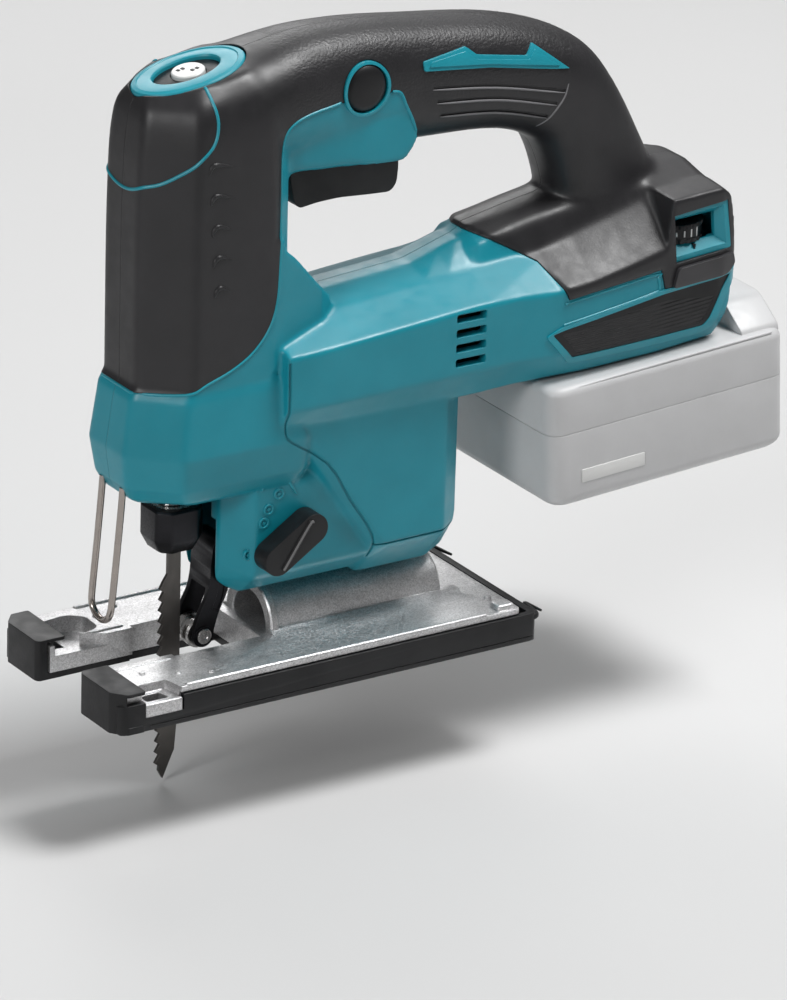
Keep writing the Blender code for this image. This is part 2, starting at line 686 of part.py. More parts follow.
def make_fan():
    fan = sleeve("cooling_fan", motor_point(-0.0120), motor_point(-0.0050), 0.0028, 0.0070, "black_plastic")
    join(fan, sleeve("fan_disc", motor_point(-0.0065), motor_point(-0.0050), 0.0060, 0.0162))
    for i in range(10):
        blade = box(f"fan_blade_{i}", (0.0060, -0.0006, -0.0120), (0.0158, 0.0006, -0.0055))
        place(blade, motor_frame(0.0) @ Matrix.Rotation(2 * math.pi * i / 10, 4, "Z"))
        join(fan, blade)


def crank_lift():
    """Height of the crank gear's axis above the motor's, so that the two gears mesh."""
    return (PINION_TEETH + CRANK_TEETH) / 2 * GEAR_MODULE


def make_crank():
    lift = crank_lift()
    phase = math.pi + math.pi / CRANK_TEETH     # a gap of the big gear faces the pinion's top tooth
    gear = plate("crank_gear", gear_outline(CRANK_TEETH, GEAR_MODULE, phase), -0.0035, 0.0035, "XY", "steel")
    cut(gear, cylinder("crank_bore", (0, 0, -0.01), (0, 0, 0.01), 0.0043, sides=24))
    cut(gear, cylinder("pin_bore", (0, CRANK_RADIUS, -0.01), (0, CRANK_RADIUS, 0.01), 0.0025, sides=20))
    place(gear, motor_frame(GEARS_ALONG, lift))
    pin = cylinder("crank_pin", (0, CRANK_RADIUS, -0.0040), (0, CRANK_RADIUS, 0.0033), 0.0022, "steel")
    place(pin, motor_frame(GEARS_ALONG, lift))
    axle = cylinder("gear_axle", (0, 0, -0.0045), (0, 0, 0.0085), 0.0040, "steel")
    place(axle, motor_frame(GEARS_ALONG, lift))


def make_plunger():
    """The rod, its slotted yoke and the blade clamp, which go up and down together."""
    x = PLUNGER_X
    cylinder("plunger_rod", (x, 0, CLAMP_Z[1] + GAP), (x, 0, 0.180), PLUNGER_RADIUS, "steel")
    yoke = box("plunger_yoke", (x + 0.0048, -0.0192, YOKE_Z - 0.0070), (-0.0285, 0.0192, YOKE_Z + 0.0070),
               "steel", 0.0012)
    slot = box("yoke_slot", (-0.0345, -0.0160, YOKE_Z - 0.0030), (-0.0200, 0.0160, YOKE_Z + 0.0030))
    cut(yoke, slot)
    body = cylinder("clamp_body", (x, 0, CLAMP_Z[0] + 0.0010), (x, 0, CLAMP_Z[1]), 0.0068, "steel")
    slot_half = BLADE_THICKNESS / 2 + GAP
    cut(body, box("blade_slot", (x - 0.0040, -slot_half, 0.040), (x + 0.0045, slot_half, 0.0580)))
    sleeve("guide_bush_lower", (x, 0, 0.0840), (x, 0, 0.0940), PLUNGER_RADIUS + GAP, 0.0085, "brass")
    sleeve("guide_bush_upper", (x, 0, 0.1490), (x, 0, 0.1570), PLUNGER_RADIUS + GAP, 0.0085, "brass")
    weight = box("counterweight", (x - 0.0090, -0.0120, 0.1704), (x + 0.0125, 0.0120, 0.1860),
                 "steel", 0.0015)
    cut(weight, cylinder("weight_bore", (x, 0, 0.160), (x, 0, 0.200), PLUNGER_RADIUS + 0.0006))


def make_clamp_sleeve():
    """The turning collar that opens the blade clamp, with a chamfered lower rim and grip flutes."""
    low, high = CLAMP_Z
    profile = [(CLAMP_RADIUS, high), (CLAMP_RADIUS, low + 0.0045), (CLAMP_RADIUS - 0.0028, low),
               (0.0071, low), (0.0071, high)]
    turned("clamp_sleeve", (PLUNGER_X, 0, 0), (0, 0, 1), profile, "black_steel", steps=32)


def make_blade():
    front, back = BLADE_X
    teeth, pitch = 17, 0.0040
    top, tip = 0.0575, BLADE_TIP_Z
    outline = [(back - 0.0003, top), (front + 0.0018, top), (front + 0.0018, 0.0360),
               (front + 0.0002, 0.0335)]
    for i in range(teeth):
        z = 0.0320 - pitch * i
        lean = 0.0009 * i / teeth
        outline += [(front - 0.0012 - lean, z - 0.25 * pitch), (front + 0.0004 - lean, z - 0.55 * pitch)]
    outline += [(front - 0.0006, tip + 0.0030), (front + 0.0010, tip), (back - 0.0016, tip + 0.0100),
                (back, tip + 0.0300)]
    half = BLADE_THICKNESS / 2
    plate("saw_blade", outline, -half, half, finish="blade_steel")


# Blade support and guard

def make_roller():
    x, z = ROLLER_AT.x, ROLLER_AT.z
    groove = BLADE_THICKNESS / 2 + 0.0004
    rim, deep = ROLLER_RADIUS, ROLLER_RADIUS - 0.0010
    profile = [(rim, 0.0042), (rim, groove), (deep, groove - 0.0002), (deep, -groove + 0.0002),
               (rim, -groove), (rim, -0.0042), (0.0023, -0.0042), (0.0023, 0.0042)]
    turned("guide_roller", (x, 0, z), (0, 1, 0), profile, "steel")
    cylinder("roller_pin", (x, -0.0085, z), (x, 0.0085, z), 0.0020, "steel", sides=16)
    outline = [(x - 0.0020, z - 0.0035), (x - 0.0020, z + 0.0030), (-0.0295, 0.0340), (-0.0275, 0.0475),
               (-0.0215, 0.0475), (-0.0205, 0.0300), (-0.0225, 0.0120), (-0.0265, z - 0.0045)]
    fork = plate("roller_fork", outline, -0.0066, 0.0066, finish="black_steel")
    cut(fork, box("fork_gap", (-0.060, -0.0046, 0.0), (-0.0222, 0.0046, 0.0300)),
        cylinder("fork_pin_hole", (x, -0.02, z), (x, 0.02, z), 0.0023, sides=16),
        cylinder("pivot_hole", (FORK_PIVOT.x, -0.02, FORK_PIVOT.z), (FORK_PIVOT.x, 0.02, FORK_PIVOT.z), 0.0019,
                 sides=16))
    cylinder("fork_pivot", (FORK_PIVOT.x, -0.0088, FORK_PIVOT.z), (FORK_PIVOT.x, 0.0088, FORK_PIVOT.z), 0.0016,
             "steel", sides=16)


def make_wire_guard():
    """The bent wire in front of the blade, both ends held in the nose."""
    top, foot, half = 0.0740, 0.0250, 0.0065
    left = [(-0.0640, -half, top), (-0.0660, -half, 0.0500), (-0.0678, -half, foot + half)]
    bend = [(-0.0680, -half * math.cos(a), foot + half - half * math.sin(a))
            for a in (math.pi * i / 10 for i in range(1, 10))]
    right = [(x, -y, z) for x, y, z in reversed(left)]
    wire("wire_guard", left + bend + right, 0.0012, "steel")


# Base

def base_outline(half_width, front, rear, slot_half):
    """Plan of the base: two horns in front, joined behind the blade slot."""
    end = arc((SLOT_END, 0), slot_half, -90, 90, 10)
    corner = 0.004
    return [(front, -slot_half)] + end + [(front, slot_half), (front, half_width - corner),
            (front + corner, half_width), (rear, half_width), (rear, -half_width),
            (front + corner, -half_width), (front, -half_width + corner)]


def make_base():
    half, front, rear = BASE_WIDTH / 2, -BASE_LENGTH / 2, BASE_LENGTH / 2
    inner = half - COVER_SIDE - GAP
    casting = plate("base_plate", base_outline(inner, front + 0.0030, rear - 0.0065, SLOT_HALF),
                    COVER_FLOOR + GAP, BASE_TOP, "XY", "cast_aluminium")
    rim = plate("base_rim", base_outline(half - 0.0007, front + 0.0100, rear - 0.0065, SLOT_HALF + 0.0004),
                COVER_TOP + GAP, BASE_TOP - 0.0002, "XY")
    tunnel = cylinder("tunnel", (TUNNEL_X[0], 0, BASE_TOP), (TUNNEL_X[1], 0, BASE_TOP), TUNNEL_RADIUS,
                      sides=32)
    bore = cylinder("tunnel_bore", (TUNNEL_X[0] - 0.01, 0, BASE_TOP), (TUNNEL_X[1] + 0.01, 0, BASE_TOP),
                    TUNNEL_RADIUS - TUNNEL_WALL, sides=28)
    cut(tunnel, box("tunnel_floor", (-0.06, -0.04, -0.01), (0.08, 0.04, BASE_TOP - 0.0005)), bore)
    join(casting, rim, tunnel)
    blade_room = box("blade_room", (-0.0480, -BLADE_ROOM_HALF, 0.0), (-0.0140, BLADE_ROOM_HALF, 0.030))
    cut(casting, blade_room)
    for side in (-1, 1):
        for x in (-0.030, 0.010, 0.046):
            low, high = sorted((side * 0.0180, side * 0.0300))
            cut(casting, box(f"pocket_{side}_{x}", (x - 0.014, low, BASE_TOP - 0.0020),
                             (x + 0.014, high, BASE_TOP + 0.001)))
    cover = plate("base_cover", base_outline(half, front, rear, SLOT_HALF + 0.0012), 0.0, COVER_TOP, "XY",
                  "black_plastic")
    inside = base_outline(half - COVER_SIDE, front + 0.0027, rear - 0.0030, SLOT_HALF - 0.0030)
    hollow = plate("cover_hollow", inside, COVER_FLOOR, 0.030, "XY")
    cut(cover, hollow, box("cover_blade_room", (-0.0482, -BLADE_ROOM_HALF - 0.0003, -0.01),
                       (-0.0138, BLADE_ROOM_HALF + 0.0003, 0.030)))
    for side in (-1, 1):
        low, high = sorted((side * (SLOT_HALF + 0.0012), side * (half + 0.0004)))
        cap = box(f"horn_cap_{side}", (front - 0.0015, low, 0.0),
                  (front + 0.0095, high, BASE_TOP + 0.0016), None, 0.0015)
        room = box(f"cap_room_{side}", (front + 0.0026, -0.05, COVER_FLOOR),
                   (front + 0.02, 0.05, BASE_TOP + GAP))
        join(cover, cut(cap, room))
    sole_bolt()


def sole_bolt():
    """The bolt that clamps the tilted base, sunk in the sole under the dust tunnel's floor."""
    x, head_top, end = 0.030, 0.0070, 0.0112
    cut(bpy.data.objects["base_plate"],
        cylinder("bolt_counterbore", (x, 0, -0.01), (x, 0, head_top + GAP), 0.0052, sides=20),
        cylinder("bolt_way", (x, 0, -0.01), (x, 0, end + GAP), 0.0028, sides=20))
    access = cylinder("bolt_access", (x, 0, -0.01), (x, 0, 0.02), 0.0060, sides=20)
    cut(bpy.data.objects["base_cover"], access)
    shank = cylinder("base_bolt", (x, 0, head_top - 0.0010), (x, 0, end), 0.0025, "black_steel", sides=20)
    head = cylinder("bolt_head", (x, 0, 0.0035), (x, 0, head_top), 0.0048, sides=20)
    join(shank, cut(head, cylinder("bolt_socket", (x, 0, 0.0), (x, 0, 0.0055), 0.0024, sides=6)))


# Battery, electronics and the parked hex key

def make_battery():
    frame = tilted(BATTERY_AT, BATTERY_SLOPE)
    length, width, height = BATTERY_SIZE
    half, split = width / 2, -0.017
    lower = box("battery_case_lower", (0, -half, -height), (length, half, split - GAP), "battery_grey", 0.005)
    room = box("battery_room", (0.0025, -half + 0.0025, -height + 0.0025),
               (length - 0.0025, half - 0.0025, 0.01))
    cut(lower, room)
    upper = box("battery_case_upper", (0, -half, split), (length, half, 0), "battery_grey", 0.004)
    rail = box("battery_rail", (0.004, -RAIL_HALF, -0.004), (0.074, RAIL_HALF, RAIL_HEIGHT), None, 0.001)
    latch_top = box("battery_latch_top", (0.0820, -0.0260, -0.004), (length - 0.001, 0.0260, 0.0080),
                    None, 0.003)
    join(upper, rail, latch_top)
    upper_room = box("battery_upper_room", (0.0025, -half + 0.0025, -0.03),
                     (length - 0.0025, half - 0.0025, -0.0025))
    button_room = box("button_room", (length - 0.0100, -0.0105, -0.0225), (length + 0.01, 0.0105, 0.0020))
    cut(upper, upper_room, button_room)
    cut(lower, box("button_room_low", (length - 0.0100, -0.0105, -0.0225), (length + 0.01, 0.0105, 0.0020)))
    button = box("battery_button", (length - 0.0070, -0.0100, -0.0215), (length - 0.0004, 0.0100, 0.0010),
                 "black_plastic", 0.0015)
    cells = cell_pack(length)
    for obj in (lower, upper, button, cells):
        place(obj, frame)


def cell_pack(length):
    """Ten round cells lying across the pack, two layers of five, with their holder."""
    radius, half = 0.0089, 0.0325
    pack = box("battery_cells", (0.0035, -0.0060, -0.0415), (0.0865, 0.0060, -0.0050), "teal")
    for layer in range(2):
        for i in range(5):
            x = 0.0035 + radius + i * (2 * radius - 0.0015)
            z = -0.0415 + radius + layer * (2 * radius - 0.0008)
            join(pack, cylinder(f"cell_{layer}_{i}", (x, -half, z), (x, half, z), radius, sides=14))
    return pack


def make_electrics():
    frame = tilted(BATTERY_AT, BATTERY_SLOPE)
    block = box("terminal_block", (0.020, -0.0165, 0.0115), (0.060, 0.0165, 0.0190), "black_plastic", 0.001)
    place(block, frame)
    board = box("control_board", (0.018, -0.0220, 0.0225), (0.045, 0.0220, 0.0241), "board_green")
    place(board, frame)
    box("lamp_lens", (-0.0258, -0.0038, 0.0675), (-0.0182, 0.0038, 0.0700), "lens", 0.0006)


def make_hex_key():
    """The L-shaped key parked in the back of the lower housing."""
    long_leg = [(0.0575, 0, 0.0680), (0.0660, 0, 0.0690)]
    elbow = [(0.0678, 0, 0.0700), (0.0685, 0, 0.0718)]
    wire("hex_key", long_leg + elbow + [(0.0685, 0, 0.0880)], 0.0016, "black_steel", sides=1)


def make_screws():
    """The screws that hold the two housing halves, their heads sunk in the right half."""
    for number, (x, z, seat) in enumerate(SCREW_PLACES, start=1):
        cut_hole = cylinder(f"screw_hole_{number}", (x, seat - 0.0100, z), (x, 0.060, z), 0.0033, sides=16)
        for name in ("housing_right", "overmould_right"):
            cut(bpy.data.objects[name], cut_hole)
        head = cylinder(f"housing_screw_{number}", (x, seat - 0.0026, z), (x, seat - 0.0004, z), 0.0029, "steel",
                        sides=16)
        cut(head, cylinder(f"screw_socket_{number}", (x, seat - 0.0015, z), (x, seat + 0.002, z), 0.0014, sides=6))
        join(head, cylinder(f"screw_shank_{number}", (x, 0.0010, z), (x, seat - 0.0020, z), 0.0014, sides=12))


# Main

clear_scene()
PARTS = collection("jigsaw")
CUTTERS = collection("cutters")
make_housing()
make_top()
make_controls()
make_handle_trim()
make_motor()
make_crank()
make_plunger()
make_clamp_sleeve()
make_blade()
make_roller()
make_wire_guard()
make_base()
make_battery()
make_electrics()
make_hex_key()
make_screws()
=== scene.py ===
"""Looks of the cordless D-handle jigsaw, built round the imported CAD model.

Everything is in the CAD model's frame: -X is the blade end, -Y the side with the orbital lever, and the
sole is at z = 0. Shapes are given in millimetres and turned into metres where they are made.
"""

import math

import bmesh
import bpy
from mathutils import Matrix, Vector
from mathutils.bvhtree import BVHTree


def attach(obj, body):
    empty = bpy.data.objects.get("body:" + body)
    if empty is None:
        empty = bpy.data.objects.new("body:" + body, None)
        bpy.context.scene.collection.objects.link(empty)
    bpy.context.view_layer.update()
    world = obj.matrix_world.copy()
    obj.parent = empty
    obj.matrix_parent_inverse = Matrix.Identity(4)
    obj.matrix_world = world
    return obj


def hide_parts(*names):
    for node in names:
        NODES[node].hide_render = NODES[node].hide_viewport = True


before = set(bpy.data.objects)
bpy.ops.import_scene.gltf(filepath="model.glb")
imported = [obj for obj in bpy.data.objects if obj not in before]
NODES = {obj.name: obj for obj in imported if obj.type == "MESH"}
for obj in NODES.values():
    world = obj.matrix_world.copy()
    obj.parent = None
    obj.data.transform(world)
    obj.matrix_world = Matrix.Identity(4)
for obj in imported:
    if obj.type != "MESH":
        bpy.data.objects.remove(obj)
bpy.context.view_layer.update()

MM = 0.001
VOXEL = 0.00075                     # mesh size of the moulded body
FLOOR_Z = -0.0405
WALL = 3.9                          # how far the body's hollow lies inside its surface
SKIN = 1.0                          # thickness of the soft skin
SKIN_BED = 0.2                      # gap under it
SKIN_PROUD = 0.12                   # how far it stands above the hard housing
SKIN_GAP = 0.25                     # gap along its edge
HALF_SEAM = 0.06                    # each body half stays this far off the centre plane
REACH = 70.0                        # how far a side-view cutter runs to each side of the centre plane

SHAPES = bpy.data.collections.new("visual")
bpy.context.scene.collection.children.link(SHAPES)


# Mesh helpers

def link(name, mesh):
    obj = bpy.data.objects.new(name, mesh)
    SHAPES.objects.link(obj)
    return obj


def from_bmesh(name, bm):
    bmesh.ops.recalc_face_normals(bm, faces=bm.faces)
    mesh = bpy.data.meshes.new(name)
    bm.to_mesh(mesh)
    bm.free()
    return link(name, mesh)


def discard(*objects):
    for obj in objects:
        mesh = obj.data
        bpy.data.objects.remove(obj, do_unlink=True)
        if mesh and not mesh.users:
            bpy.data.meshes.remove(mesh)


def bake(obj):
    """Applies the object's modifiers and its placement."""
    bpy.context.view_layer.update()
    evaluated = obj.evaluated_get(bpy.context.evaluated_depsgraph_get())
    mesh = bpy.data.meshes.new_from_object(evaluated)
    mesh.transform(obj.matrix_basis)
    old = obj.data
    obj.modifiers.clear()
    obj.data = mesh
    obj.matrix_basis = Matrix()
    if not old.users:
        bpy.data.meshes.remove(old)
    return obj


def copy_of(obj, name):
    return link(name, obj.data.copy())


def combine(obj, operation, *others, solver="MANIFOLD", keep_others=False):
    """A Boolean with each of the others in turn, applied."""
    for other in others:
        made = obj.modifiers.new(operation, "BOOLEAN")
        made.operation = operation
        made.object = other
        made.solver = solver
    bake(obj)
    if not keep_others:
        discard(*others)
    return obj


def cut(obj, *others, **options):
    return combine(obj, "DIFFERENCE", *others, **options)


def add(obj, *others, **options):
    return combine(obj, "UNION", *others, **options)


def keep(obj, *others, **options):
    return combine(obj, "INTERSECT", *others, **options)


def merge(name, objects):
    """The objects' meshes as one object of several closed bodies."""
    bm = bmesh.new()
    for obj in objects:
        mesh = obj.data.copy()
        mesh.transform(obj.matrix_basis)
        bm.from_mesh(mesh)
        bpy.data.meshes.remove(mesh)
    mesh = bpy.data.meshes.new(name)
    bm.to_mesh(mesh)
    bm.free()
    discard(*objects)
    return link(name, mesh)


def loft(name, rings, closed_loop=False):
    """A closed body through rings of the same number of points, in millimetres."""
    bm = bmesh.new()
    levels = [[bm.verts.new(Vector(point) * MM) for point in ring] for ring in rings]
    pairs = list(zip(levels, levels[1:]))
    if closed_loop:
        pairs.append((levels[-1], levels[0]))
    for lower, upper in pairs:
        for i in range(len(lower)):
            j = (i + 1) % len(lower)
            bm.faces.new((lower[i], lower[j], upper[j], upper[i]))
    if not closed_loop:
        bm.faces.new(levels[0])
        bm.faces.new(levels[-1])
    bmesh.ops.triangulate(bm, faces=[f for f in bm.faces if len(f.verts) > 4])
    return from_bmesh(name, bm)


def prism(name, outline, low, high, plane="XZ"):
    """A flat outline between two levels across its plane, in millimetres."""
    turn = {"XZ": lambda u, v, w: (u, w, v), "XY": lambda u, v, w: (u, v, w),
            "YZ": lambda u, v, w: (w, u, v)}[plane]
    return loft(name, [[turn(u, v, w) for u, v in outline] for w in (low, high)])


def rectangle(low, high):
    return [(low[0], low[1]), (high[0], low[1]), (high[0], high[1]), (low[0], high[1])]


def block(name, low, high, bevel=0.0, segments=3):
    made = prism(name, rectangle(low, high), low[2], high[2], "XY")
    return soften(made, bevel, segments) if bevel else made


def side_block(name, side, low, high, *rounding):
    """A block given for the +Y side, put on that side or mirrored to the other."""
    inner, outer = sorted((side * low[1], side * high[1]))
    return block(name, (low[0], inner, low[2]), (high[0], outer, high[2]), *rounding)


def rod(name, start, end, radius, sides=32, end_radius=None):
    start, end = Vector(start) * MM, Vector(end) * MM
    bm = bmesh.new()
    bmesh.ops.create_cone(bm, cap_ends=True, segments=sides, radius1=radius * MM,
                          radius2=(radius if end_radius is None else end_radius) * MM,
                          depth=(end - start).length)
    turn = (end - start).to_track_quat("Z", "Y").to_matrix().to_4x4()
    bmesh.ops.transform(bm, matrix=Matrix.Translation((start + end) / 2) @ turn, verts=bm.verts)
    return from_bmesh(name, bm)


def lathe(name, at, axis, profile, steps=64):
    """A body turned about an axis through at. The profile lists (radius, height); radius 0 closes it."""
    turn = Vector(axis).to_track_quat("Z", "Y").to_matrix()
    rings = []
    for i in range(steps):
        angle = 2 * math.pi * i / steps
        c, s = math.cos(angle), math.sin(angle)
        rings.append([Vector(at) + turn @ Vector((r * c, r * s, h)) for r, h in profile])
    made = loft(name, rings, closed_loop=True)
    bm = bmesh.new()
    bm.from_mesh(made.data)
    bmesh.ops.remove_doubles(bm, verts=bm.verts, dist=1e-7)
    bmesh.ops.recalc_face_normals(bm, faces=bm.faces)
    bm.to_mesh(made.data)
    bm.free()
    return made


def tube(name, route, radius, sides=10, bend_steps=8, smooth=True, taper=None):
    """A round wire along a route, in millimetres, with closed ends. taper scales the radius on its way."""
    points = spline(route, bend_steps) if smooth else [Vector(p) for p in route]
    rings = []
    side = None
    last = len(points) - 1
    for i, point in enumerate(points):
        ahead = (points[min(i + 1, last)] - points[max(i - 1, 0)]).normalized()
        if side is None:
            side = ahead.orthogonal().normalized()
        side = (side - ahead * side.dot(ahead)).normalized()
        other = ahead.cross(side)
        reach = radius * (taper(i / last) if taper else 1.0)
        rings.append([point + reach * (side * math.cos(a) + other * math.sin(a))
                      for a in (2 * math.pi * k / sides for k in range(sides))])
    return loft(name, rings)


def soften(obj, width, segments=3, angle=30):
    """Rounds the object's sharp edges, width in millimetres."""
    made = obj.modifiers.new("round", "BEVEL")
    made.width = width * MM
    made.segments = segments
    made.limit_method = "ANGLE"
    made.angle_limit = math.radians(angle)
    made.harden_normals = False
    return bake(obj)


def placed(obj, matrix):
    obj.data.transform(matrix)
    return obj


def turned(at, degrees, axis):
    """A frame at a point given in millimetres, turned about one axis."""
    return Matrix.Translation(Vector(at) * MM) @ Matrix.Rotation(math.radians(degrees), 4, axis)


def spline(points, steps):
    """Catmull-Rom points through an open list."""
    points = [Vector(p) for p in points]
    ends = [points[0] * 2 - points[1]] + points + [points[-1] * 2 - points[-2]]
    found = []
    for a, b, c, d in zip(ends, ends[1:], ends[2:], ends[3:]):
        for i in range(steps):
            t = i / steps
            found.append(0.5 * ((2 * b) + (c - a) * t + (2 * a - 5 * b + 4 * c - d) * t * t
                                + (3 * b - a - 3 * c + d) * t ** 3))
    return found + [points[-1]]


def dense(rows, steps):
    """Rows of numbers with smooth rows put between them."""
    size = len(rows[0])
    columns = [spline([(row[k], 0.0) for row in rows], steps) for k in range(size)]
    return [[column[i][0] for column in columns] for i in range(len(columns[0]))]


def rounded(corners, radius, steps=4):
    """A closed outline with each corner bent round."""
    corners = [Vector(c) for c in corners]
    points = []
    for i, corner in enumerate(corners):
        before = corners[i - 1] - corner
        after = corners[(i + 1) % len(corners)] - corner
        reach = min(radius, 0.46 * before.length, 0.46 * after.length)
        start, end = corner + before.normalized() * reach, corner + after.normalized() * reach
        for s in range(steps + 1):
            t = s / steps
            points.append(start * (1 - t) ** 2 + corner * 2 * t * (1 - t) + end * t * t)
    return [tuple(p) for p in points]


def arc(centre, radius, start, end, steps):
    angles = [math.radians(start + (end - start) * i / steps) for i in range(steps + 1)]
    return [(centre[0] + radius * math.cos(a), centre[1] + radius * math.sin(a)) for a in angles]


def oval(half_x, half_y, steps=72):
    return [(half_x * math.cos(a), half_y * math.sin(a))
            for a in (2 * math.pi * i / steps for i in range(steps))]


def band(points, width):
    """The outline of a strip of even width along an open line."""
    left, right = [], []
    for i, point in enumerate(points):
        a, b = Vector(points[max(i - 1, 0)]), Vector(points[min(i + 1, len(points) - 1)])
        ahead = (b - a).normalized()
        side = Vector((-ahead.y, ahead.x)) * width / 2
        left.append(tuple(Vector(point) + side))
        right.append(tuple(Vector(point) - side))
    return left + right[::-1]


def line(points, steps=6):
    return [tuple(p) for p in spline(points, steps)]


def both_sides(name, outline, inner=2.0, outer=60.0):
    """The outline as two prisms, one on each side of the centre plane."""
    return merge(name, [prism(name, outline, -outer, -inner), prism(name, outline, inner, outer)])


def tree_of(obj):
    bm = bmesh.new()
    bm.from_mesh(obj.data)
    tree = BVHTree.FromBMesh(bm)
    bm.free()
    return tree


def on_side(points, side):
    """Where sideways lines through (x, z) points first meet the body."""
    found = []
    for x, z in points:
        hit = SURFACE.ray_cast(Vector((x, side * 90.0, z)) * MM, Vector((0, -side, 0)))[0]
        if hit:
            found.append(hit / MM)
    return found


def on_surface(points):
    return [SURFACE.find_nearest(Vector(point) * MM)[0] / MM for point in points]


def beads(name, routes, radius, taper=None):
    """Half-sunk round lines along side-view routes, on both flanks of the body."""
    return merge(name, [tube(name, on_side(route, side), radius, smooth=False, taper=taper)
                        for route in routes for side in (-1, 1)])


# Materials

class Look:
    """A material's node tree, with short calls for the nodes that it is built from."""

    def __init__(self, name):
        self.material = bpy.data.materials.new(name)
        self.material.use_nodes = True
        self.nodes = self.material.node_tree.nodes
        self.links = self.material.node_tree.links

    def put(self, socket, value):
        """Links another node's output into a socket, or writes a number, a list or a colour there."""
        if isinstance(value, bpy.types.NodeSocket):
            self.links.new(value, socket)
        else:
            socket.default_value = (*value, 1.0) if isinstance(value, tuple) else value

    def node(self, kind, output, values, **settings):
        """The output of a new node with its settings made and its sockets filled."""
        made = self.nodes.new("ShaderNode" + kind)
        for key, value in settings.items():
            setattr(made, key, value)
        for key, value in values.items():
            self.put(made.inputs[key], value)
        return made.outputs[output]

    def place(self, scale, stretch=(1, 1, 1)):
        at = self.node("TexCoord", "Object", {})
        return self.node("Mapping", "Vector", {"Vector": at, "Scale": [scale * s for s in stretch]})

    def noise(self, scale, detail=2.0, stretch=(1, 1, 1)):
        return self.node("TexNoise", "Fac", {"Vector": self.place(scale, stretch), "Scale": 1.0,
                                             "Detail": detail})

    def ramp(self, value, low, high, to_low=0.0, to_high=1.0):
        return self.node("MapRange", "Result", {"Value": value, "From Min": low, "From Max": high,
                                                "To Min": to_low, "To Max": to_high})

    def mix(self, factor, first, second, blend="MIX"):
        return self.node("Mix", "Result", {"Factor": factor, "A": first, "B": second}, data_type="RGBA",
                         blend_type=blend)

    def times(self, first, second):
        return self.node("Math", "Value", {0: first, 1: second}, operation="MULTIPLY")

    def edge(self, radius):
        """Normals that make sharp edges read as rounded."""
        return self.node("Bevel", "Normal", {"Radius": radius}, samples=4)

    def bump(self, height, distance, normal, strength=1.0):
        return self.node("Bump", "Normal", {"Height": height, "Distance": distance, "Normal": normal,
                                            "Strength": strength})

    def shade(self, values):
        """Fills the shader's sockets and gives back the material."""
        for key, value in values.items():
            self.put(self.nodes["Principled BSDF"].inputs[key], value)
        return self.material


def moulded(name, colour, roughness, grain=900.0, depth=0.00003, edge=0.0003, wear=0.12, specular=0.5):
    """Moulded plastic or rubber: spark-eroded grain, slight mottling and edges that read as rounded."""
    look = Look(name)
    dark = tuple(c * (1 - wear) for c in colour)
    light = tuple(min(1.0, c * (1 + wear) + 0.004) for c in colour)
    mottle = look.ramp(look.noise(60.0, 4.0), 0.3, 0.7)
    return look.shade({
        "Base Color": look.mix(mottle, dark, light),
        "Roughness": look.ramp(look.noise(220.0, 3.0), 0.3, 0.7, roughness - 0.05, roughness + 0.06),
        "Normal": look.bump(look.noise(grain, 3.0), depth, look.edge(edge)),
        "Specular IOR Level": specular,
    })


def grip_rubber():
    """Soft rubber: smooth and satin on the column, with a leathery grain over the top of the handle."""
    look = Look("soft grip rubber")
    mottle = look.ramp(look.noise(60.0, 4.0), 0.3, 0.7)
    at = look.node("TexCoord", "Object", {})
    along = look.ramp(look.node("SeparateXYZ", "X", {"Vector": at}), -0.014, -0.004)
    above = look.ramp(look.node("SeparateXYZ", "Z", {"Vector": at}), 0.192, 0.200, 0.12, 1.0)
    grain = look.times(look.noise(1000.0, 3.0), look.times(along, above))
    fine = look.bump(look.noise(1900.0, 2.0), 0.000018, look.edge(0.0006))
    return look.shade({
        "Base Color": look.mix(mottle, (0.0115, 0.0112, 0.0125), (0.0160, 0.0152, 0.0172)),
        "Roughness": look.ramp(look.noise(220.0, 3.0), 0.3, 0.7, 0.39, 0.48),
        "Normal": look.bump(grain, 0.00022, fine),
    })


def metal(name, colour, roughness, brush=(1, 1, 1), depth=0.00001):
    """Machined or drawn metal: fine marks along one direction and faint stains."""
    look = Look(name)
    stain = look.ramp(look.noise(180.0, 4.0), 0.35, 0.65)
    marks = look.noise(1500.0, 2.0, brush)
    return look.shade({
        "Metallic": 1.0,
        "Base Color": look.mix(stain, tuple(0.9 * c for c in colour), colour),
        "Roughness": look.ramp(marks, 0.3, 0.7, roughness - 0.08, roughness + 0.1),
        "Normal": look.bump(marks, depth, look.edge(0.0002)),
    })


def cast_aluminium():
    """Tumbled pressure-cast alloy: bright flecks, a fine pitted grain and darker drag marks."""
    look = Look("cast aluminium")
    flecks = look.node("TexVoronoi", "Color", {"Vector": look.place(2600.0), "Scale": 1.0})
    red, green, blue = (look.node("SeparateColor", channel, {"Color": flecks})
                        for channel in ("Red", "Green", "Blue"))
    drag = look.ramp(look.noise(120.0, 4.0, (0.3, 1, 1)), 0.35, 0.7)
    tone = look.mix(drag, (0.68, 0.675, 0.68), (0.86, 0.855, 0.86))
    return look.shade({
        "Metallic": 1.0,
        "Base Color": look.mix(0.35, tone, red, "MULTIPLY"),
        "Roughness": look.ramp(green, 0.0, 1.0, 0.34, 0.60),
        "Normal": look.bump(blue, 0.00006, look.edge(0.0005), 0.8),
    })


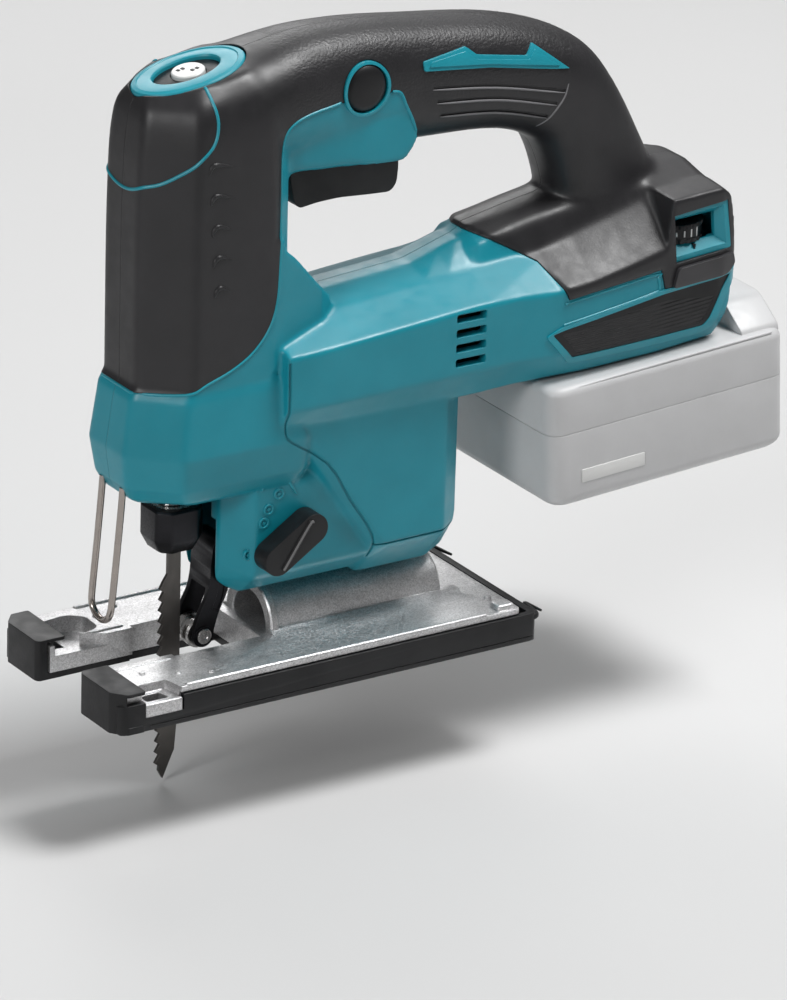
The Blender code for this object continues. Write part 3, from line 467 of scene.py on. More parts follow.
def make_materials():
    teal = (0.004, 0.232, 0.300)
    return {
        "teal": moulded("teal plastic", teal, 0.36, 1100.0, 0.000014, 0.0006, 0.05, specular=0.42),
        "teal_trim": moulded("teal trim", (0.006, 0.250, 0.320), 0.36, 1100.0, 0.000010, 0.0003, 0.05),
        "rubber": grip_rubber(),
        "rubber_ribs": moulded("smooth grip rubber", (0.030, 0.029, 0.032), 0.40, 1500.0, 0.00003, 0.0004,
                               0.12, specular=0.50),
        # A lighter grey rubber for the handle's grip lines: a painted highlight along their tops.
        "rubber_painted_highlight": moulded("grip line painted highlight", (0.15, 0.148, 0.155), 0.48, 1500.0, 0.00002, 0.0002,
                               0.10),
        "black_plastic": moulded("black plastic", (0.0085, 0.0085, 0.0095), 0.42, 900.0, 0.000025, 0.0004,
                                 0.15, specular=0.32),
        # A light grey line along the lever's ridge: a painted highlight.
        "lever_painted_highlight": moulded("lever ridge painted highlight", (0.13, 0.128, 0.13), 0.40, 700.0, 0.00001, 0.0002, 0.05),
        "white_plastic": moulded("white plastic", (0.66, 0.66, 0.65), 0.38, 900.0, 0.00001, 0.0003, 0.03),
        "cast_aluminium": cast_aluminium(),
        "steel": metal("turned steel", (0.56, 0.55, 0.54), 0.26, (1, 1, 0.08)),
        "wire": metal("drawn wire", (0.40, 0.36, 0.33), 0.20, (1, 1, 0.05)),
        "blade_steel": metal("dark ground blade", (0.115, 0.108, 0.102), 0.36, (1, 1, 0.10), 0.00002),
        "black_steel": metal("black oxide steel", (0.030, 0.030, 0.033), 0.38, depth=0.00002),
        "copper": metal("varnished winding", (0.48, 0.20, 0.09), 0.40, (0.1, 1, 1)),
        "brass": metal("sintered bush", (0.55, 0.40, 0.16), 0.40, depth=0.00002),
        "board_green": moulded("circuit board", (0.015, 0.10, 0.045), 0.45, 500.0, 0.00002, 0.0002, 0.10),
        "lens": moulded("clear lens", (0.80, 0.83, 0.84), 0.12, 300.0, 0.000002, 0.0003, 0.02),
        "battery_grey": moulded("battery shell", (0.52, 0.52, 0.525), 0.40, 900.0, 0.000020, 0.0008, 0.03),
        # A lighter grey line along the battery's top edges: a painted highlight.
        "battery_painted_highlight": moulded("battery edge painted highlight", (0.56, 0.56, 0.57), 0.32, 900.0, 0.000008, 0.0003,
                                 0.02),
    }


MATERIALS = make_materials()


def finish(obj, finish_name, body, nodes=(), angle=32):
    """Gives a piece its material and body, and hides the CAD nodes that it stands for."""
    obj.data.materials.clear()
    obj.data.materials.append(MATERIALS[finish_name])
    obj.data.shade_smooth()
    obj.data.set_sharp_from_angle(angle=math.radians(angle))
    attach(obj, body)
    if nodes:
        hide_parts(*nodes)
    return obj


# The moulded body's form

# Rows: height, front, half width, rear, lean
COLUMN_ROWS = (
    (104.0, -62.0, 24.0, -6.5, 0.00),
    (130.0, -62.0, 24.2, -6.5, 0.00),
    (160.0, -62.0, 24.2, -6.8, 0.00),
    (186.0, -61.5, 24.0, -7.0, 0.00),
    (199.0, -60.6, 23.4, -8.0, 0.05),
    (207.5, -59.3, 21.2, -10.0, 0.12),
    (213.4, -57.0, 15.8, -14.0, 0.20),
)
NOSE_ROWS = (
    (68.3, -59.5, 19.5, 2.0, 0.0),
    (70.3, -62.6, 22.0, 4.0, 0.0),
    (75.0, -65.2, 23.9, 6.0, 0.0),
    (87.0, -67.0, 26.2, 6.0, 0.0),
    (106.5, -64.2, 24.6, -2.0, 0.0),
    (111.0, -61.9, 23.8, -6.0, 0.0),
)
# Rows: x, top, crown, shoulder, belly, bottom, half top, half width, half bottom
BARREL_ROWS = (
    (-14.0, 122.0, 1.0, 117.6, 98.5, 88.0, 20.0, 28.7, 23.0),
    (-5.0, 126.5, 2.0, 118.2, 98.8, 88.0, 17.0, 29.8, 23.2),
    (4.0, 129.8, 3.6, 119.0, 99.0, 88.0, 15.5, 30.2, 23.5),
    (48.0, 133.0, 3.4, 122.6, 99.8, 88.8, 15.5, 30.6, 24.0),
    (58.0, 136.0, 5.4, 123.3, 100.0, 89.0, 15.5, 30.6, 24.2),
    (66.0, 138.5, 7.2, 123.5, 100.1, 89.2, 15.5, 30.7, 24.4),
    (100.0, 139.0, 5.0, 123.8, 101.0, 91.5, 15.0, 31.0, 26.0),
)
# Rows: x, top, half top, crease half, crease, half width, shoulder, belly, half bottom, bottom
SHROUD_ROWS = (
    (50.0, 131.0, 8.0, 15.5, 128.6, 29.2, 122.4, 100.3, 24.0, 89.2),
    (58.0, 134.0, 8.0, 15.5, 130.2, 29.4, 123.0, 100.4, 24.0, 89.4),
    (65.0, 137.6, 8.5, 15.5, 130.9, 29.6, 123.3, 100.5, 24.2, 89.6),
    (71.0, 140.8, 12.0, 15.5, 131.3, 30.4, 123.3, 100.5, 25.0, 90.0),
    (92.0, 145.0, 12.5, 15.5, 132.2, 31.8, 123.2, 100.2, 27.5, 91.0),
    (105.0, 147.0, 13.0, 15.5, 135.6, 32.3, 124.7, 100.0, 29.0, 91.5),
    (120.0, 149.6, 15.0, 16.5, 140.6, 32.5, 127.7, 100.4, 29.6, 92.3),
    (134.4, 152.0, 16.5, 18.0, 145.4, 32.5, 131.0, 101.0, 30.0, 93.0),
    (136.2, 152.0, 17.0, 19.0, 148.0, 32.4, 148.4, 101.0, 30.0, 93.2),
    (157.0, 151.7, 18.0, 20.0, 149.6, 32.0, 149.4, 102.0, 29.0, 94.5),
    (163.0, 149.0, 17.0, 19.0, 146.0, 30.5, 144.5, 104.0, 27.5, 96.0),
    (169.0, 143.0, 16.0, 17.0, 140.0, 25.0, 137.0, 116.0, 23.0, 108.0),
)
SHROUD_REAR = [(30.0, 60.0), (30.0, 175.0), (158.6, 175.0), (159.8, 151.8), (162.0, 142.5), (164.6, 128.3),
               (166.2, 119.9), (164.8, 110.0), (161.2, 99.5), (157.6, 94.2), (154.0, 60.0)]
LOWER_ROWS = (
    (-12.0, 100.0, 1.0, 95.0, 41.0, 27.5, 23.0, 23.5, 12.5),
    (-8.0, 102.0, 1.0, 95.0, 41.0, 27.5, 25.0, 25.0, 13.0),
    (52.0, 102.0, 1.0, 95.0, 41.0, 27.5, 25.0, 25.0, 13.0),
    (60.0, 100.0, 1.0, 93.0, 43.0, 30.0, 19.0, 19.5, 11.0),
)
LOWER_RAKE = 36.4
GEARBOX_ROWS = (
    (-29.0, 76.0, 1.0, 69.0, 40.0, 33.0, 7.0, 11.0, 8.0),
    (-21.0, 78.0, 1.0, 70.0, 38.0, 29.0, 16.5, 21.5, 11.5),
    (28.0, 78.0, 1.0, 70.0, 38.0, 29.0, 16.5, 21.5, 11.5),
)
# Rows: x, z, slope in degrees, half height, half width
HANDLE_ROWS = (
    (-33.0, 197.6, 2.0, 17.6, 22.6),
    (-15.0, 199.4, 1.5, 19.4, 21.8),
    (4.0, 200.6, 0.0, 21.2, 19.4),
    (24.0, 200.2, -0.6, 21.3, 17.8),
    (45.0, 198.5, -1.5, 20.8, 17.2),
    (80.0, 195.0, -6.0, 19.3, 17.0),
    (103.5, 186.5, -26.0, 18.8, 16.8),
    (114.5, 173.5, -50.0, 18.1, 16.2),
    (122.5, 156.0, -62.0, 19.5, 15.6),
    (128.0, 142.0, -66.0, 21.0, 15.6),
)
COLUMN_TOP_X = -37.6
# Boxes in which the body's creases are smoothed into broad fillets
BLENDS = (((-40.0, -30.0, 174.0), (22.0, 30.0, 226.0)), ((78.0, -21.5, 133.0), (152.0, 21.5, 186.0)))
BLEND_STEPS = 70                    # smoothing passes inside those boxes
BODY_STEPS = 4                      # smoothing passes over the whole body


def end_shift(i, rows, grow):
    """How far the ring of row i moves outwards: only the first and the last ring do."""
    return -grow if i == 0 else grow if i == len(rows) - 1 else 0.0


def wedge_ring(z, front, half, rear, lean, grow, radius):
    front_half, shoulder, back = 0.44 * half, front + 14.5, rear - 10.0
    plan = [(front - grow, front_half + 0.4 * grow), (shoulder - 0.4 * grow, half + grow),
            (back + 0.4 * grow, half + grow), (rear + grow, half - 9.0 + 0.4 * grow)]
    plan += [(x, -y) for x, y in reversed(plan)]
    if radius:
        plan = rounded(plan, radius)
    return [(x, y, z + lean * (x - COLUMN_TOP_X)) for x, y in plan]


def barrel_ring(x, top, crown, shoulder, belly, bottom, half_top, half, half_bottom, grow, radius, rake=0.0):
    side = [(0.35 * half_top + 0.2 * grow, top + grow), (half_top + 0.3 * grow, top - crown + grow),
            (half + grow, shoulder + 0.4 * grow), (half + grow, belly - 0.4 * grow),
            (half_bottom + 0.4 * grow, bottom - grow)]
    side += [(-y, z) for y, z in reversed(side)]
    if radius:
        side = rounded(side, radius)
    middle = (shoulder + belly) / 2
    span = (shoulder - belly) / 2
    return [(x + rake * min(1.0, max(0.0, 0.5 + 0.5 * (middle - z) / span)) if rake else x, y, z)
            for y, z in side]


def wedge_form(name, rows, grow, radius, steps):
    """A body through level rings: a narrow front, full flanks and a narrower rear."""
    rows = dense(rows, steps) if steps > 1 else rows
    rings = []
    for i, (z, front, half, rear, lean) in enumerate(rows):
        z += end_shift(i, rows, grow)
        rings.append(wedge_ring(z, front, half, rear, lean, grow, radius))
    return loft(name, rings)


def barrel_form(name, rows, grow, radius, rake=0.0):
    """A body through upright rings along X. rake slants its front end."""
    rings = []
    for i, (x, *rest) in enumerate(rows):
        x += end_shift(i, rows, grow)
        rings.append(barrel_ring(x, *rest, grow, radius, rake if i < 2 else 0.0))
    return loft(name, rings)


def subdivided(rows, longest):
    """Rows with straight steps put between them, none longer than longest."""
    found = [rows[0]]
    for before, after in zip(rows, rows[1:]):
        count = max(1, math.ceil((after[0] - before[0]) / longest))
        for i in range(1, count + 1):
            found.append(tuple(a + (b - a) * i / count for a, b in zip(before, after)))
    return found


def shroud_form(name, grow, radius, fine):
    """The shroud: a raised top plate, slanting facets beside it, and a rear cut to its side outline."""
    rings = []
    rows = subdivided(SHROUD_ROWS, 2.0) if fine else SHROUD_ROWS
    for i, row in enumerate(rows):
        x, top, half_top, crease_half, crease, half, shoulder, belly, half_bottom, bottom = row
        x += end_shift(i, rows, grow)
        side = [(0.35 * half_top, top + grow), (half_top + 0.3 * grow, top - 3.0 + grow),
                (crease_half + 0.5 * grow, crease + 0.8 * grow), (half + grow, shoulder + 0.3 * grow),
                (half + grow, belly - 0.4 * grow), (half_bottom + 0.4 * grow, bottom - grow)]
        side += [(-y, z) for y, z in reversed(side)]
        if radius:
            side = rounded(side, radius)
        rings.append([(x, y, z) for y, z in side])
    rear = prism("rear", [(x + min(grow, 0.0), z) for x, z in SHROUD_REAR], -REACH, REACH)
    return keep(loft(name, rings), rear)


def web_form(name):
    """The flank that joins the column's foot to the barrel."""
    side = [(-30.0, 160.0), (-13.4, 158.0), (-12.0, 153.5), (-7.4, 149.6), (-1.0, 142.6), (4.9, 136.1),
            (9.8, 131.6), (12.0, 127.0), (12.0, 112.0), (-30.0, 112.0)]
    plan = [(-30.0, 24.0), (-16.5, 24.0), (4.8, 18.8), (12.0, 14.0)]
    plan += [(x, -y) for x, y in reversed(plan)]
    return soften(keep(prism(name, side, -30, 30), prism("plan", plan, 100, 170, "XY")), 0.8, 2)


def handle_form(name, grow, sides, steps, power=2.6):
    """The handle: squarish ovals set square to its bent middle line."""
    rows = dense(HANDLE_ROWS, steps) if steps > 1 else HANDLE_ROWS
    rings = []
    for x, z, slope, half_height, half_width in rows:
        turn = math.radians(slope)
        ring = []
        for i in range(sides):
            angle = 2 * math.pi * (i + 0.5) / sides
            c, s = math.cos(angle), math.sin(angle)
            y = (half_width + grow) * math.copysign(abs(c) ** (2 / power), c)
            lift = (half_height + grow) * math.copysign(abs(s) ** (2 / power), s)
            ring.append((x - lift * math.sin(turn), y, z + lift * math.cos(turn)))
        rings.append(ring)
    return loft(name, rings)


def guard_form(name, grow, bevel):
    """The cheeks beside the trigger, under the front of the handle."""
    outline = [(-12.0 - grow, 177.8 - grow), (13.5, 176.3 - grow), (34.6 + grow, 174.9 - grow),
               (37.4 + grow, 175.3 - grow), (40.0 + grow, 178.2), (42.3 + grow, 182.2), (40.8 + grow, 187.4),
               (38.4 + grow, 192.0 + grow), (-12.0 - grow, 192.0 + grow)]
    made = prism(name, rounded(outline, 1.2) if bevel else outline, -16.9 - grow, 16.9 + grow)
    return soften(made, bevel, 3) if bevel else made


def body_forms(grow, fine):
    """Every region of the body as a closed form, moved outwards by grow. Only fine ones are rounded."""
    on = 1.0 if fine else 0.0
    forms = [
        wedge_form("column_form", COLUMN_ROWS, grow, 2.2 * on, 4 if fine else 1),
        wedge_form("nose_form", NOSE_ROWS, grow, 1.8 * on, 1),
        barrel_form("gearbox_form", GEARBOX_ROWS, grow, 2.5 * on),
        barrel_form("lower_form", LOWER_ROWS, grow, 2.2 * on, LOWER_RAKE),
        barrel_form("barrel_form", BARREL_ROWS, grow, 0.8 * on),
        shroud_form("shroud_form", grow, 0.9 * on, fine),
        handle_form("handle_form", grow, 40 if fine else 12, 6 if fine else 1),
        guard_form("guard_form", grow, 2.0 * on),
    ]
    if fine:
        lip = keep(shroud_form("lip_form", 1.1, 1.2, True), prism("lip", FLANK_LIP, -REACH, REACH))
        forms += [web_form("web_form"), lip]
    return forms


def moulded_form():
    """One smooth closed surface through all the forms, with broad fillets where the handle joins its ends."""
    form = merge("form", body_forms(0.0, True))
    remesh = form.modifiers.new("remesh", "REMESH")
    remesh.mode = "VOXEL"
    remesh.voxel_size = VOXEL
    bake(form)
    group = form.vertex_groups.new(name="blend")
    for vertex in form.data.vertices:
        weight = max(blend_weight(vertex.co / MM, low, high) for low, high in BLENDS)
        if weight:
            group.add([vertex.index], weight, "REPLACE")
    for iterations, limit in ((BODY_STEPS, ""), (BLEND_STEPS, "blend")):
        smooth = form.modifiers.new("smooth", "SMOOTH")
        smooth.factor = 0.5
        smooth.iterations = iterations
        smooth.vertex_group = limit
    return bake(form)


def blend_weight(at, low, high, fade=6.0):
    """1 well inside a box, falling to 0 at its faces."""
    depth = min(min(at[k] - low[k], high[k] - at[k]) for k in range(3))
    return min(1.0, max(0.0, depth / fade))


def offset(distance):
    """A copy of the form with its surface moved outwards by a distance in millimetres."""
    made = copy_of(FORM, f"form_{distance}")
    displace = made.modifiers.new("offset", "DISPLACE")
    displace.mid_level = 0.0
    displace.strength = distance * MM
    return bake(made)


def raised(regions, height, depth=0.6):
    """A piece that follows the body's surface: it stands height above it and reaches depth below."""
    made = offset(height)
    keep(made, regions)
    inner = offset(-depth)
    return cut(made, inner)


# Outlines in the side view, in millimetres (x, z)

LOCK_AT = (20.6, 203.0)
COLUMN_EDGE = [(-90.0, 108.3), (-66.0, 108.5), (-50.0, 109.6), (-43.0, 112.4), (-33.5, 115.8), (-25.5, 120.5),
               (-19.5, 127.5), (-16.3, 136.5), (-15.2, 150.0), (-14.6, 171.0), (-14.2, 186.0), (-12.3, 193.6),
               (-8.6, 196.9), (-2.6, 198.6), (6.9, 199.7), (10.0, 200.2)]
CHEEK_EDGE = [(31.0, 200.4), (34.4, 199.3), (36.9, 194.5), (39.7, 189.2), (42.4, 182.2), (42.8, 176.0)]
SHROUD_EDGE = [(60.0, 152.0), (68.5, 141.2), (75.5, 138.6), (90.0, 130.6), (95.3, 119.8), (132.4, 124.2),
               (134.4, 116.8), (131.0, 115.0), (92.0, 109.6), (88.2, 108.0), (97.0, 96.8), (151.0, 98.0),
               (155.6, 100.0), (158.2, 105.4), (162.0, 112.0), (172.0, 121.0), (200.0, 121.0)]
PANEL = [(89.2, 108.2), (97.6, 98.6), (151.4, 100.4), (153.9, 103.0), (158.6, 112.0), (162.6, 117.3),
         (134.2, 115.3), (94.2, 109.3)]
PANEL_FRAME = [(86.8, 107.6), (96.6, 96.2), (151.0, 97.4), (155.8, 99.4), (158.6, 105.0), (162.4, 111.6),
               (167.0, 116.0), (166.0, 119.6), (134.0, 116.9), (92.6, 110.4)]
DIAL_FRAME = [(136.6, 143.2), (159.3, 145.2), (161.6, 127.4), (138.2, 125.7)]
DIAL_WINDOW = [(138.4, 139.8), (155.4, 140.4), (156.2, 132.0), (138.8, 131.0)]
DIAL_PAD = [(138.9, 124.2), (162.2, 125.8), (163.4, 121.6), (159.8, 118.4), (136.8, 117.2), (138.2, 122.4)]
FLANK_LIP = [(66.0, 150.0), (71.0, 142.0), (76.0, 139.4), (90.8, 131.0), (95.9, 120.4), (133.4, 124.9),
             (135.3, 117.0), (159.4, 118.6), (164.6, 119.4), (165.4, 130.0), (160.4, 170.0), (120.0, 170.0)]


def teal_region(grow=0.0):
    """The part of the side view where the hard housing shows."""
    button = arc(LOCK_AT, 9.2 + grow, 200, -24, 14)
    outline = [COLUMN_EDGE[0]] + line(COLUMN_EDGE[1:], 4) + button + line(CHEEK_EDGE, 4) + [(42.8, 160.0)]
    outline += SHROUD_EDGE + [(200.0, 8.0), (-90.0, 8.0)]
    if not grow:
        return outline
    moved = []
    for before, at, after in zip(outline[-1:] + outline[:-1], outline, outline[1:] + outline[:1]):
        first, second = Vector(at) - Vector(before), Vector(after) - Vector(at)
        normal = Vector((-first.y, first.x)).normalized() + Vector((-second.y, second.x)).normalized()
        moved.append(tuple(Vector(at) + normal.normalized() * grow))
    return moved


# Where the separate parts sit: frames of the tilted top disc and of the battery, and places of small parts

DISC_FRAME = turned((-37.6, 0.0, 213.5), -12.0, "Y")
RING_SHIFT = -0.7                   # how far the ring's hole lies off its middle, along the ring
BATTERY_FRAME = turned((86.0, 0.0, 89.3), -3.4, "Y")
BATTERY_SIZE = (98.0, 74.0, 44.5)
DIAL_AT = (145.0, -20.5, 134.5)
LEVER_AT = (-10.0, 50.8)
LEVER_REST = 33.0
PLUNGER_X = -41.0


def shell_cutters():
    """Openings in the body for what comes out of it."""
    cutters = [
        rod("lock_hole", (LOCK_AT[0], -60, LOCK_AT[1]), (LOCK_AT[0], 60, LOCK_AT[1]), 8.35, 48),
        block("trigger_slot", (-4.5, -9.8, 150.0), (42.5, 9.8, 195.0)),
        rod("plunger_hole", (PLUNGER_X, 0, 40), (PLUNGER_X, 0, 82), 11.7, 48),
        block("blade_way", (-47.0, -6.0, 20.0), (-17.1, 6.0, 65.5)),
        block("yoke_room", (-37.2, -20.2, 106.2), (-27.6, 20.2, 148.6)),
        block("fork_room", (-36.2, -9.0, 19.5), (-14.0, 9.0, 56.3)),
        placed(rod("mode_well", (0, 0, -20), (0, 0, 20), 8.5, 48), DISC_FRAME),
        placed(prism("ring_seat", oval(20.9, 14.7), -2.7, 10.0, "XY"), DISC_FRAME),
        rod("dial_room", (DIAL_AT[0], DIAL_AT[1], 130.7), (DIAL_AT[0], DIAL_AT[1], 138.3), 11.7, 48),
        prism("dial_frame_room", DIAL_FRAME, -40.0, -28.6),
        prism("dial_window", DIAL_WINDOW, -40.0, -24.0),
        rod("lever_hole", (LEVER_AT[0], -50, LEVER_AT[1]), (LEVER_AT[0], -12, LEVER_AT[1]), 4.6),
        block("wrench_room", (50.0, -3.0, 63.0), (75.0, 3.0, 92.0)),
        placed(block("rail_channel", (-4.0, -21.2, -10.0), (150.0, 21.2, 9.0)), BATTERY_FRAME),
        placed(block("battery_clearance", (-2.0, -60.0, -80.0), (150.0, 60.0, 0.6)), BATTERY_FRAME),
    ]
    for side in (-1, 1):
        for i in range(4):
            low, high = sorted((side * 24.0, side * 40.0))
            level = 103.0 + 5.3 * i
            vent = rounded(rectangle((51.0, level), (63.0, level + 3.0)), 0.9)
            cutters.append(prism("vent", vent, low, high))
    return cutters


def screw_cutters():
    """Sunk holes over the housing screws, on the far side."""
    places = ((-52.0, 90.0), (0.0, 80.0), (48.0, 52.0), (120.0, 112.0), (60.0, 190.0))
    return [rod("screw_hole", (x, 12.0, z), (x, 60.0, z), 3.3) for x, z in places]


def make_body():
    """The hard housing and the soft skin set into it, each in two halves that meet on the centre plane."""
    region = prism("teal_region", teal_region(), -REACH, REACH)
    soft_edge = prism("soft_edge", teal_region(SKIN_GAP), -REACH, REACH)
    shell = keep(copy_of(FORM, "shell"), region)
    add(shell, offset(-SKIN - SKIN_BED))
    hollow_forms = body_forms(-WALL, False)
    hollow = hollow_forms[0]
    add(hollow, *hollow_forms[1:])
    openings = shell_cutters()
    cut(shell, hollow)
    cut(shell, *openings, keep_others=True)
    skin = offset(SKIN_PROUD)
    cut(skin, offset(-SKIN), soft_edge)
    cut(skin, *openings)
    detail_shell(shell)
    detail_skin(skin)
    for obj in (shell, skin):
        cut(obj, *screw_cutters())
    halves = {"left": (-80.0, -HALF_SEAM), "right": (HALF_SEAM, 80.0)}
    for side, (low, high) in halves.items():
        for obj, base, finish_name in ((shell, "housing", "teal"), (skin, "overmould", "rubber")):
            half = copy_of(obj, f"{base}_{side}_shell")
            keep(half, block("half", (-130.0, low, 0.0), (230.0, high, 270.0)))
            finish(half, finish_name, "housing", [f"{base}_{side}"])
    discard(shell, skin)


def groove(obj, outlines, depth):
    """Cuts the outlines into the surface, to a depth in millimetres."""
    tool = merge("groove", [both_sides("groove", outline) for outline in outlines])
    cut(tool, offset(-depth))
    return cut(obj, tool)


def detail_shell(shell):
    """Two narrow step lines in the hard housing: down the gear case and along the foot behind it."""
    step = line([(-13.3, 116.0), (-13.2, 104.0), (-13.0, 91.2), (-10.6, 86.6), (4.6, 75.8), (14.2, 60.6),
                 (23.6, 45.9), (24.6, 36.0)], 3)
    groove(shell, [band(step, 0.7), band([(24.6, 41.6), (62.0, 42.0)], 0.6)], 0.5)


def detail_skin(skin):
    """Shallow grooves under the handle's three long grip lines."""
    groove(skin, [band(line(rib, 5), 1.3) for rib in GRIP_LINES[:3]], 0.45)


# Side-view routes on the handle's flank: three long lines, and the hook at their rear end
GRIP_LINES = (
    [(47.4, 198.6), (73.0, 195.2), (101.0, 188.8)],
    [(49.3, 193.4), (74.0, 190.6), (97.8, 184.8)],
    [(51.2, 188.2), (74.0, 185.8), (94.8, 180.4)],
    [(102.2, 191.9), (100.9, 187.8), (98.1, 183.7), (95.2, 180.0), (91.9, 177.3)],
)


def make_grip_lines():
    """The raised lines on the handle's flanks, thinning out at both ends, in a lighter grey that is a painted
    highlight.
    """
    lines = [line([(x, z - 0.6) for x, z in route], 8) for route in GRIP_LINES]
    finish(beads("handle_grip_lines", lines, 0.42, lambda t: 0.35 + 0.65 * math.sin(math.pi * t) ** 0.4),
           "rubber_painted_highlight", "housing")


def make_column_grips():
    """Five hooked ridges on each flank of the column, each fading out to the rear."""
    routes = []
    for i in range(5):
        x, z = -42.8 + 0.65 * i, 189.0 - 10.75 * i
        reach = 12.5 - 1.1 * i
        routes.append(line([(x - 0.6, z - 3.4), (x, z - 1.3), (x + 1.6, z - 0.1), (x + 0.45 * reach, z - 0.9),
                            (x + reach, z - 3.0)], 8))
    grips = beads("column_grips", routes, 0.85,
                  lambda t: 0.15 + 0.85 * math.sin(math.pi * min(1.0, t * 1.15)) ** 0.7)
    finish(grips, "rubber", "housing")


def make_edge_beads():
    """The raised lips of the hard housing along the edges of the soft skin."""
    side = [point for point in line(COLUMN_EDGE[1:], 5) if point[0] > -60.5]
    left, right = on_side(side, -1), on_side(side, 1)
    front = on_surface([(-62.6, y, 108.4) for y in (-9.0, -4.0, 0.0, 4.0, 9.0)])
    lips = [tube("lip", left[::-1] + front + right, 0.55, smooth=False)]
    lips.append(beads("lip", [line(CHEEK_EDGE[:-1], 5)], 0.5))
    finish(merge("housing_lips", lips), "teal_trim", "housing")


def make_piping():
    """The thin coloured line that runs from the top ring down and round the front of the column."""
    side = [(-40.6, 15.6, 213.4), (-40.4, 20.0, 209.9), (-39.7, 23.0, 202.4), (-41.7, 24.0, 195.6),
            (-47.3, 24.0, 190.3), (-52.2, 20.0, 185.8), (-56.9, 15.3, 182.1), (-62.0, 11.0, 180.3),
            (-62.4, 5.0, 178.2)]
    route = [(x, -y, z) for x, y, z in side] + [(-62.4, 0.0, 177.6)] + side[::-1]
    finish(tube("top_piping", on_surface(spline(route, 6)), 0.62, smooth=False), "teal_trim", "housing")


def make_top():
    """The oval ring on the column's top, its dark panel, and the round mode button with plain marks."""
    rows = [(20.7, 14.5, -2.6), (20.6, 14.4, -0.2), (20.2, 14.0, 0.3), (18.4, 12.6, 0.75), (18.1, 12.3, 0.45),
            (13.6, 9.4, 0.95), (12.6, 8.5, 0.8), (12.2, 8.1, 0.2), (12.1, 8.0, -2.6)]
    rings = [[(x + RING_SHIFT * (20.7 - a) / 8.0, y, z) for x, y in oval(a, b, 120)] for a, b, z in rows]
    ring = loft("ring", rings, closed_loop=True)
    finish(placed(ring, DISC_FRAME), "teal_trim", "housing", ["top_ring"], 25)
    panel = prism("panel", oval(12.6, 8.6, 96), -2.6, -0.9, "XY")
    cut(panel, rod("hole", (0, 0, -3), (0, 0, 3), 6.0, 48))
    finish(placed(soften(panel, 0.2, 2), DISC_FRAME), "black_plastic", "housing", ["mode_panel"])
    profile = [(0, 0.3), (4.6, 0.5), (5.3, 0.4), (5.7, 0.0), (5.7, -7.0), (0, -7.0)]
    button = placed(lathe("mode_button_cap", (0, 0, 0), (0, 0, 1), profile), DISC_FRAME)
    finish(button, "white_plastic", "mode", ["mode_button"])
    marks = []
    turn = 10
    for x, y in ((-1.7, 1.9), (1.8, -1.6)):
        for dx in (-0.9, 0.9):
            outline = rounded(rectangle((-0.5, -0.7), (0.5, 0.7)), 0.2)
            bar = prism("mark", outline, 0.2, 0.62, "XY")
            marks.append(placed(bar, turned((x + dx, y, 0), turn, "Z")))
    finish(placed(merge("mode_marks", marks), DISC_FRAME), "black_plastic", "mode")


def make_wing():
    """The wing-shaped accent on each flank of the handle, and its raised facet."""
    wing = [(43.6, 205.2), (43.4, 208.4), (61.0, 210.6), (65.0, 207.4), (85.0, 203.9), (88.2, 207.4),
            (102.6, 196.6), (96.0, 197.6), (70.0, 202.4)]
    inner = [(45.6, 206.4), (46.4, 207.9), (60.6, 209.3), (64.2, 206.2), (85.8, 202.6), (88.6, 205.6),
             (98.4, 198.4), (92.0, 199.6), (70.0, 203.6)]
    for side, low, high in (("left", -60, -2), ("right", 2, 60)):
        accent = raised(prism("wing", rounded(wing, 0.6), low, high), 0.7, 0.5)
        finish(accent, "teal_trim", "housing", [f"handle_accent_{side}"])
    facets = raised(both_sides("facet", rounded(inner, 0.5)), 1.1, 0.4)
    finish(facets, "teal_trim", "housing")


def make_lock_button():
    """The lock button that runs through the handle, and the ring round each of its ends."""
    x, z = LOCK_AT
    profile = [(0, 18.6), (5.5, 18.5), (7.2, 18.0), (7.9, 17.2), (7.95, -17.2), (7.2, -18.0), (5.5, -18.5),
               (0, -18.6)]
    button = lathe("lock_button_cap", (x, 0, z), (0, 1, 0), profile)
    finish(button, "black_plastic", "lock", ["lock_button"])
    ring = both_sides("ring", arc((x, z), 9.4, 0, 354, 59))
    cut(ring, rod("ring_hole", (x, -REACH, z), (x, REACH, z), 8.3, 64))
    finish(raised(ring, 0.75, 1.2), "teal_trim", "housing")


def make_trigger():
    """The trigger paddle under the handle."""
    outline = [(-2.2, 171.5), (-2.2, 179.0), (39.5, 179.0), (40.2, 170.0), (39.6, 164.0), (37.2, 161.4),
               (28.0, 161.9), (17.0, 162.8), (8.0, 162.5), (1.5, 161.6), (-0.6, 163.6)]
    half_width = 8.5
    trigger = prism("trigger_paddle", rounded(outline, 2.0), -half_width, half_width)
    soften(trigger, 1.6, 4)
    finish(trigger, "black_plastic", "trigger", ["trigger"])


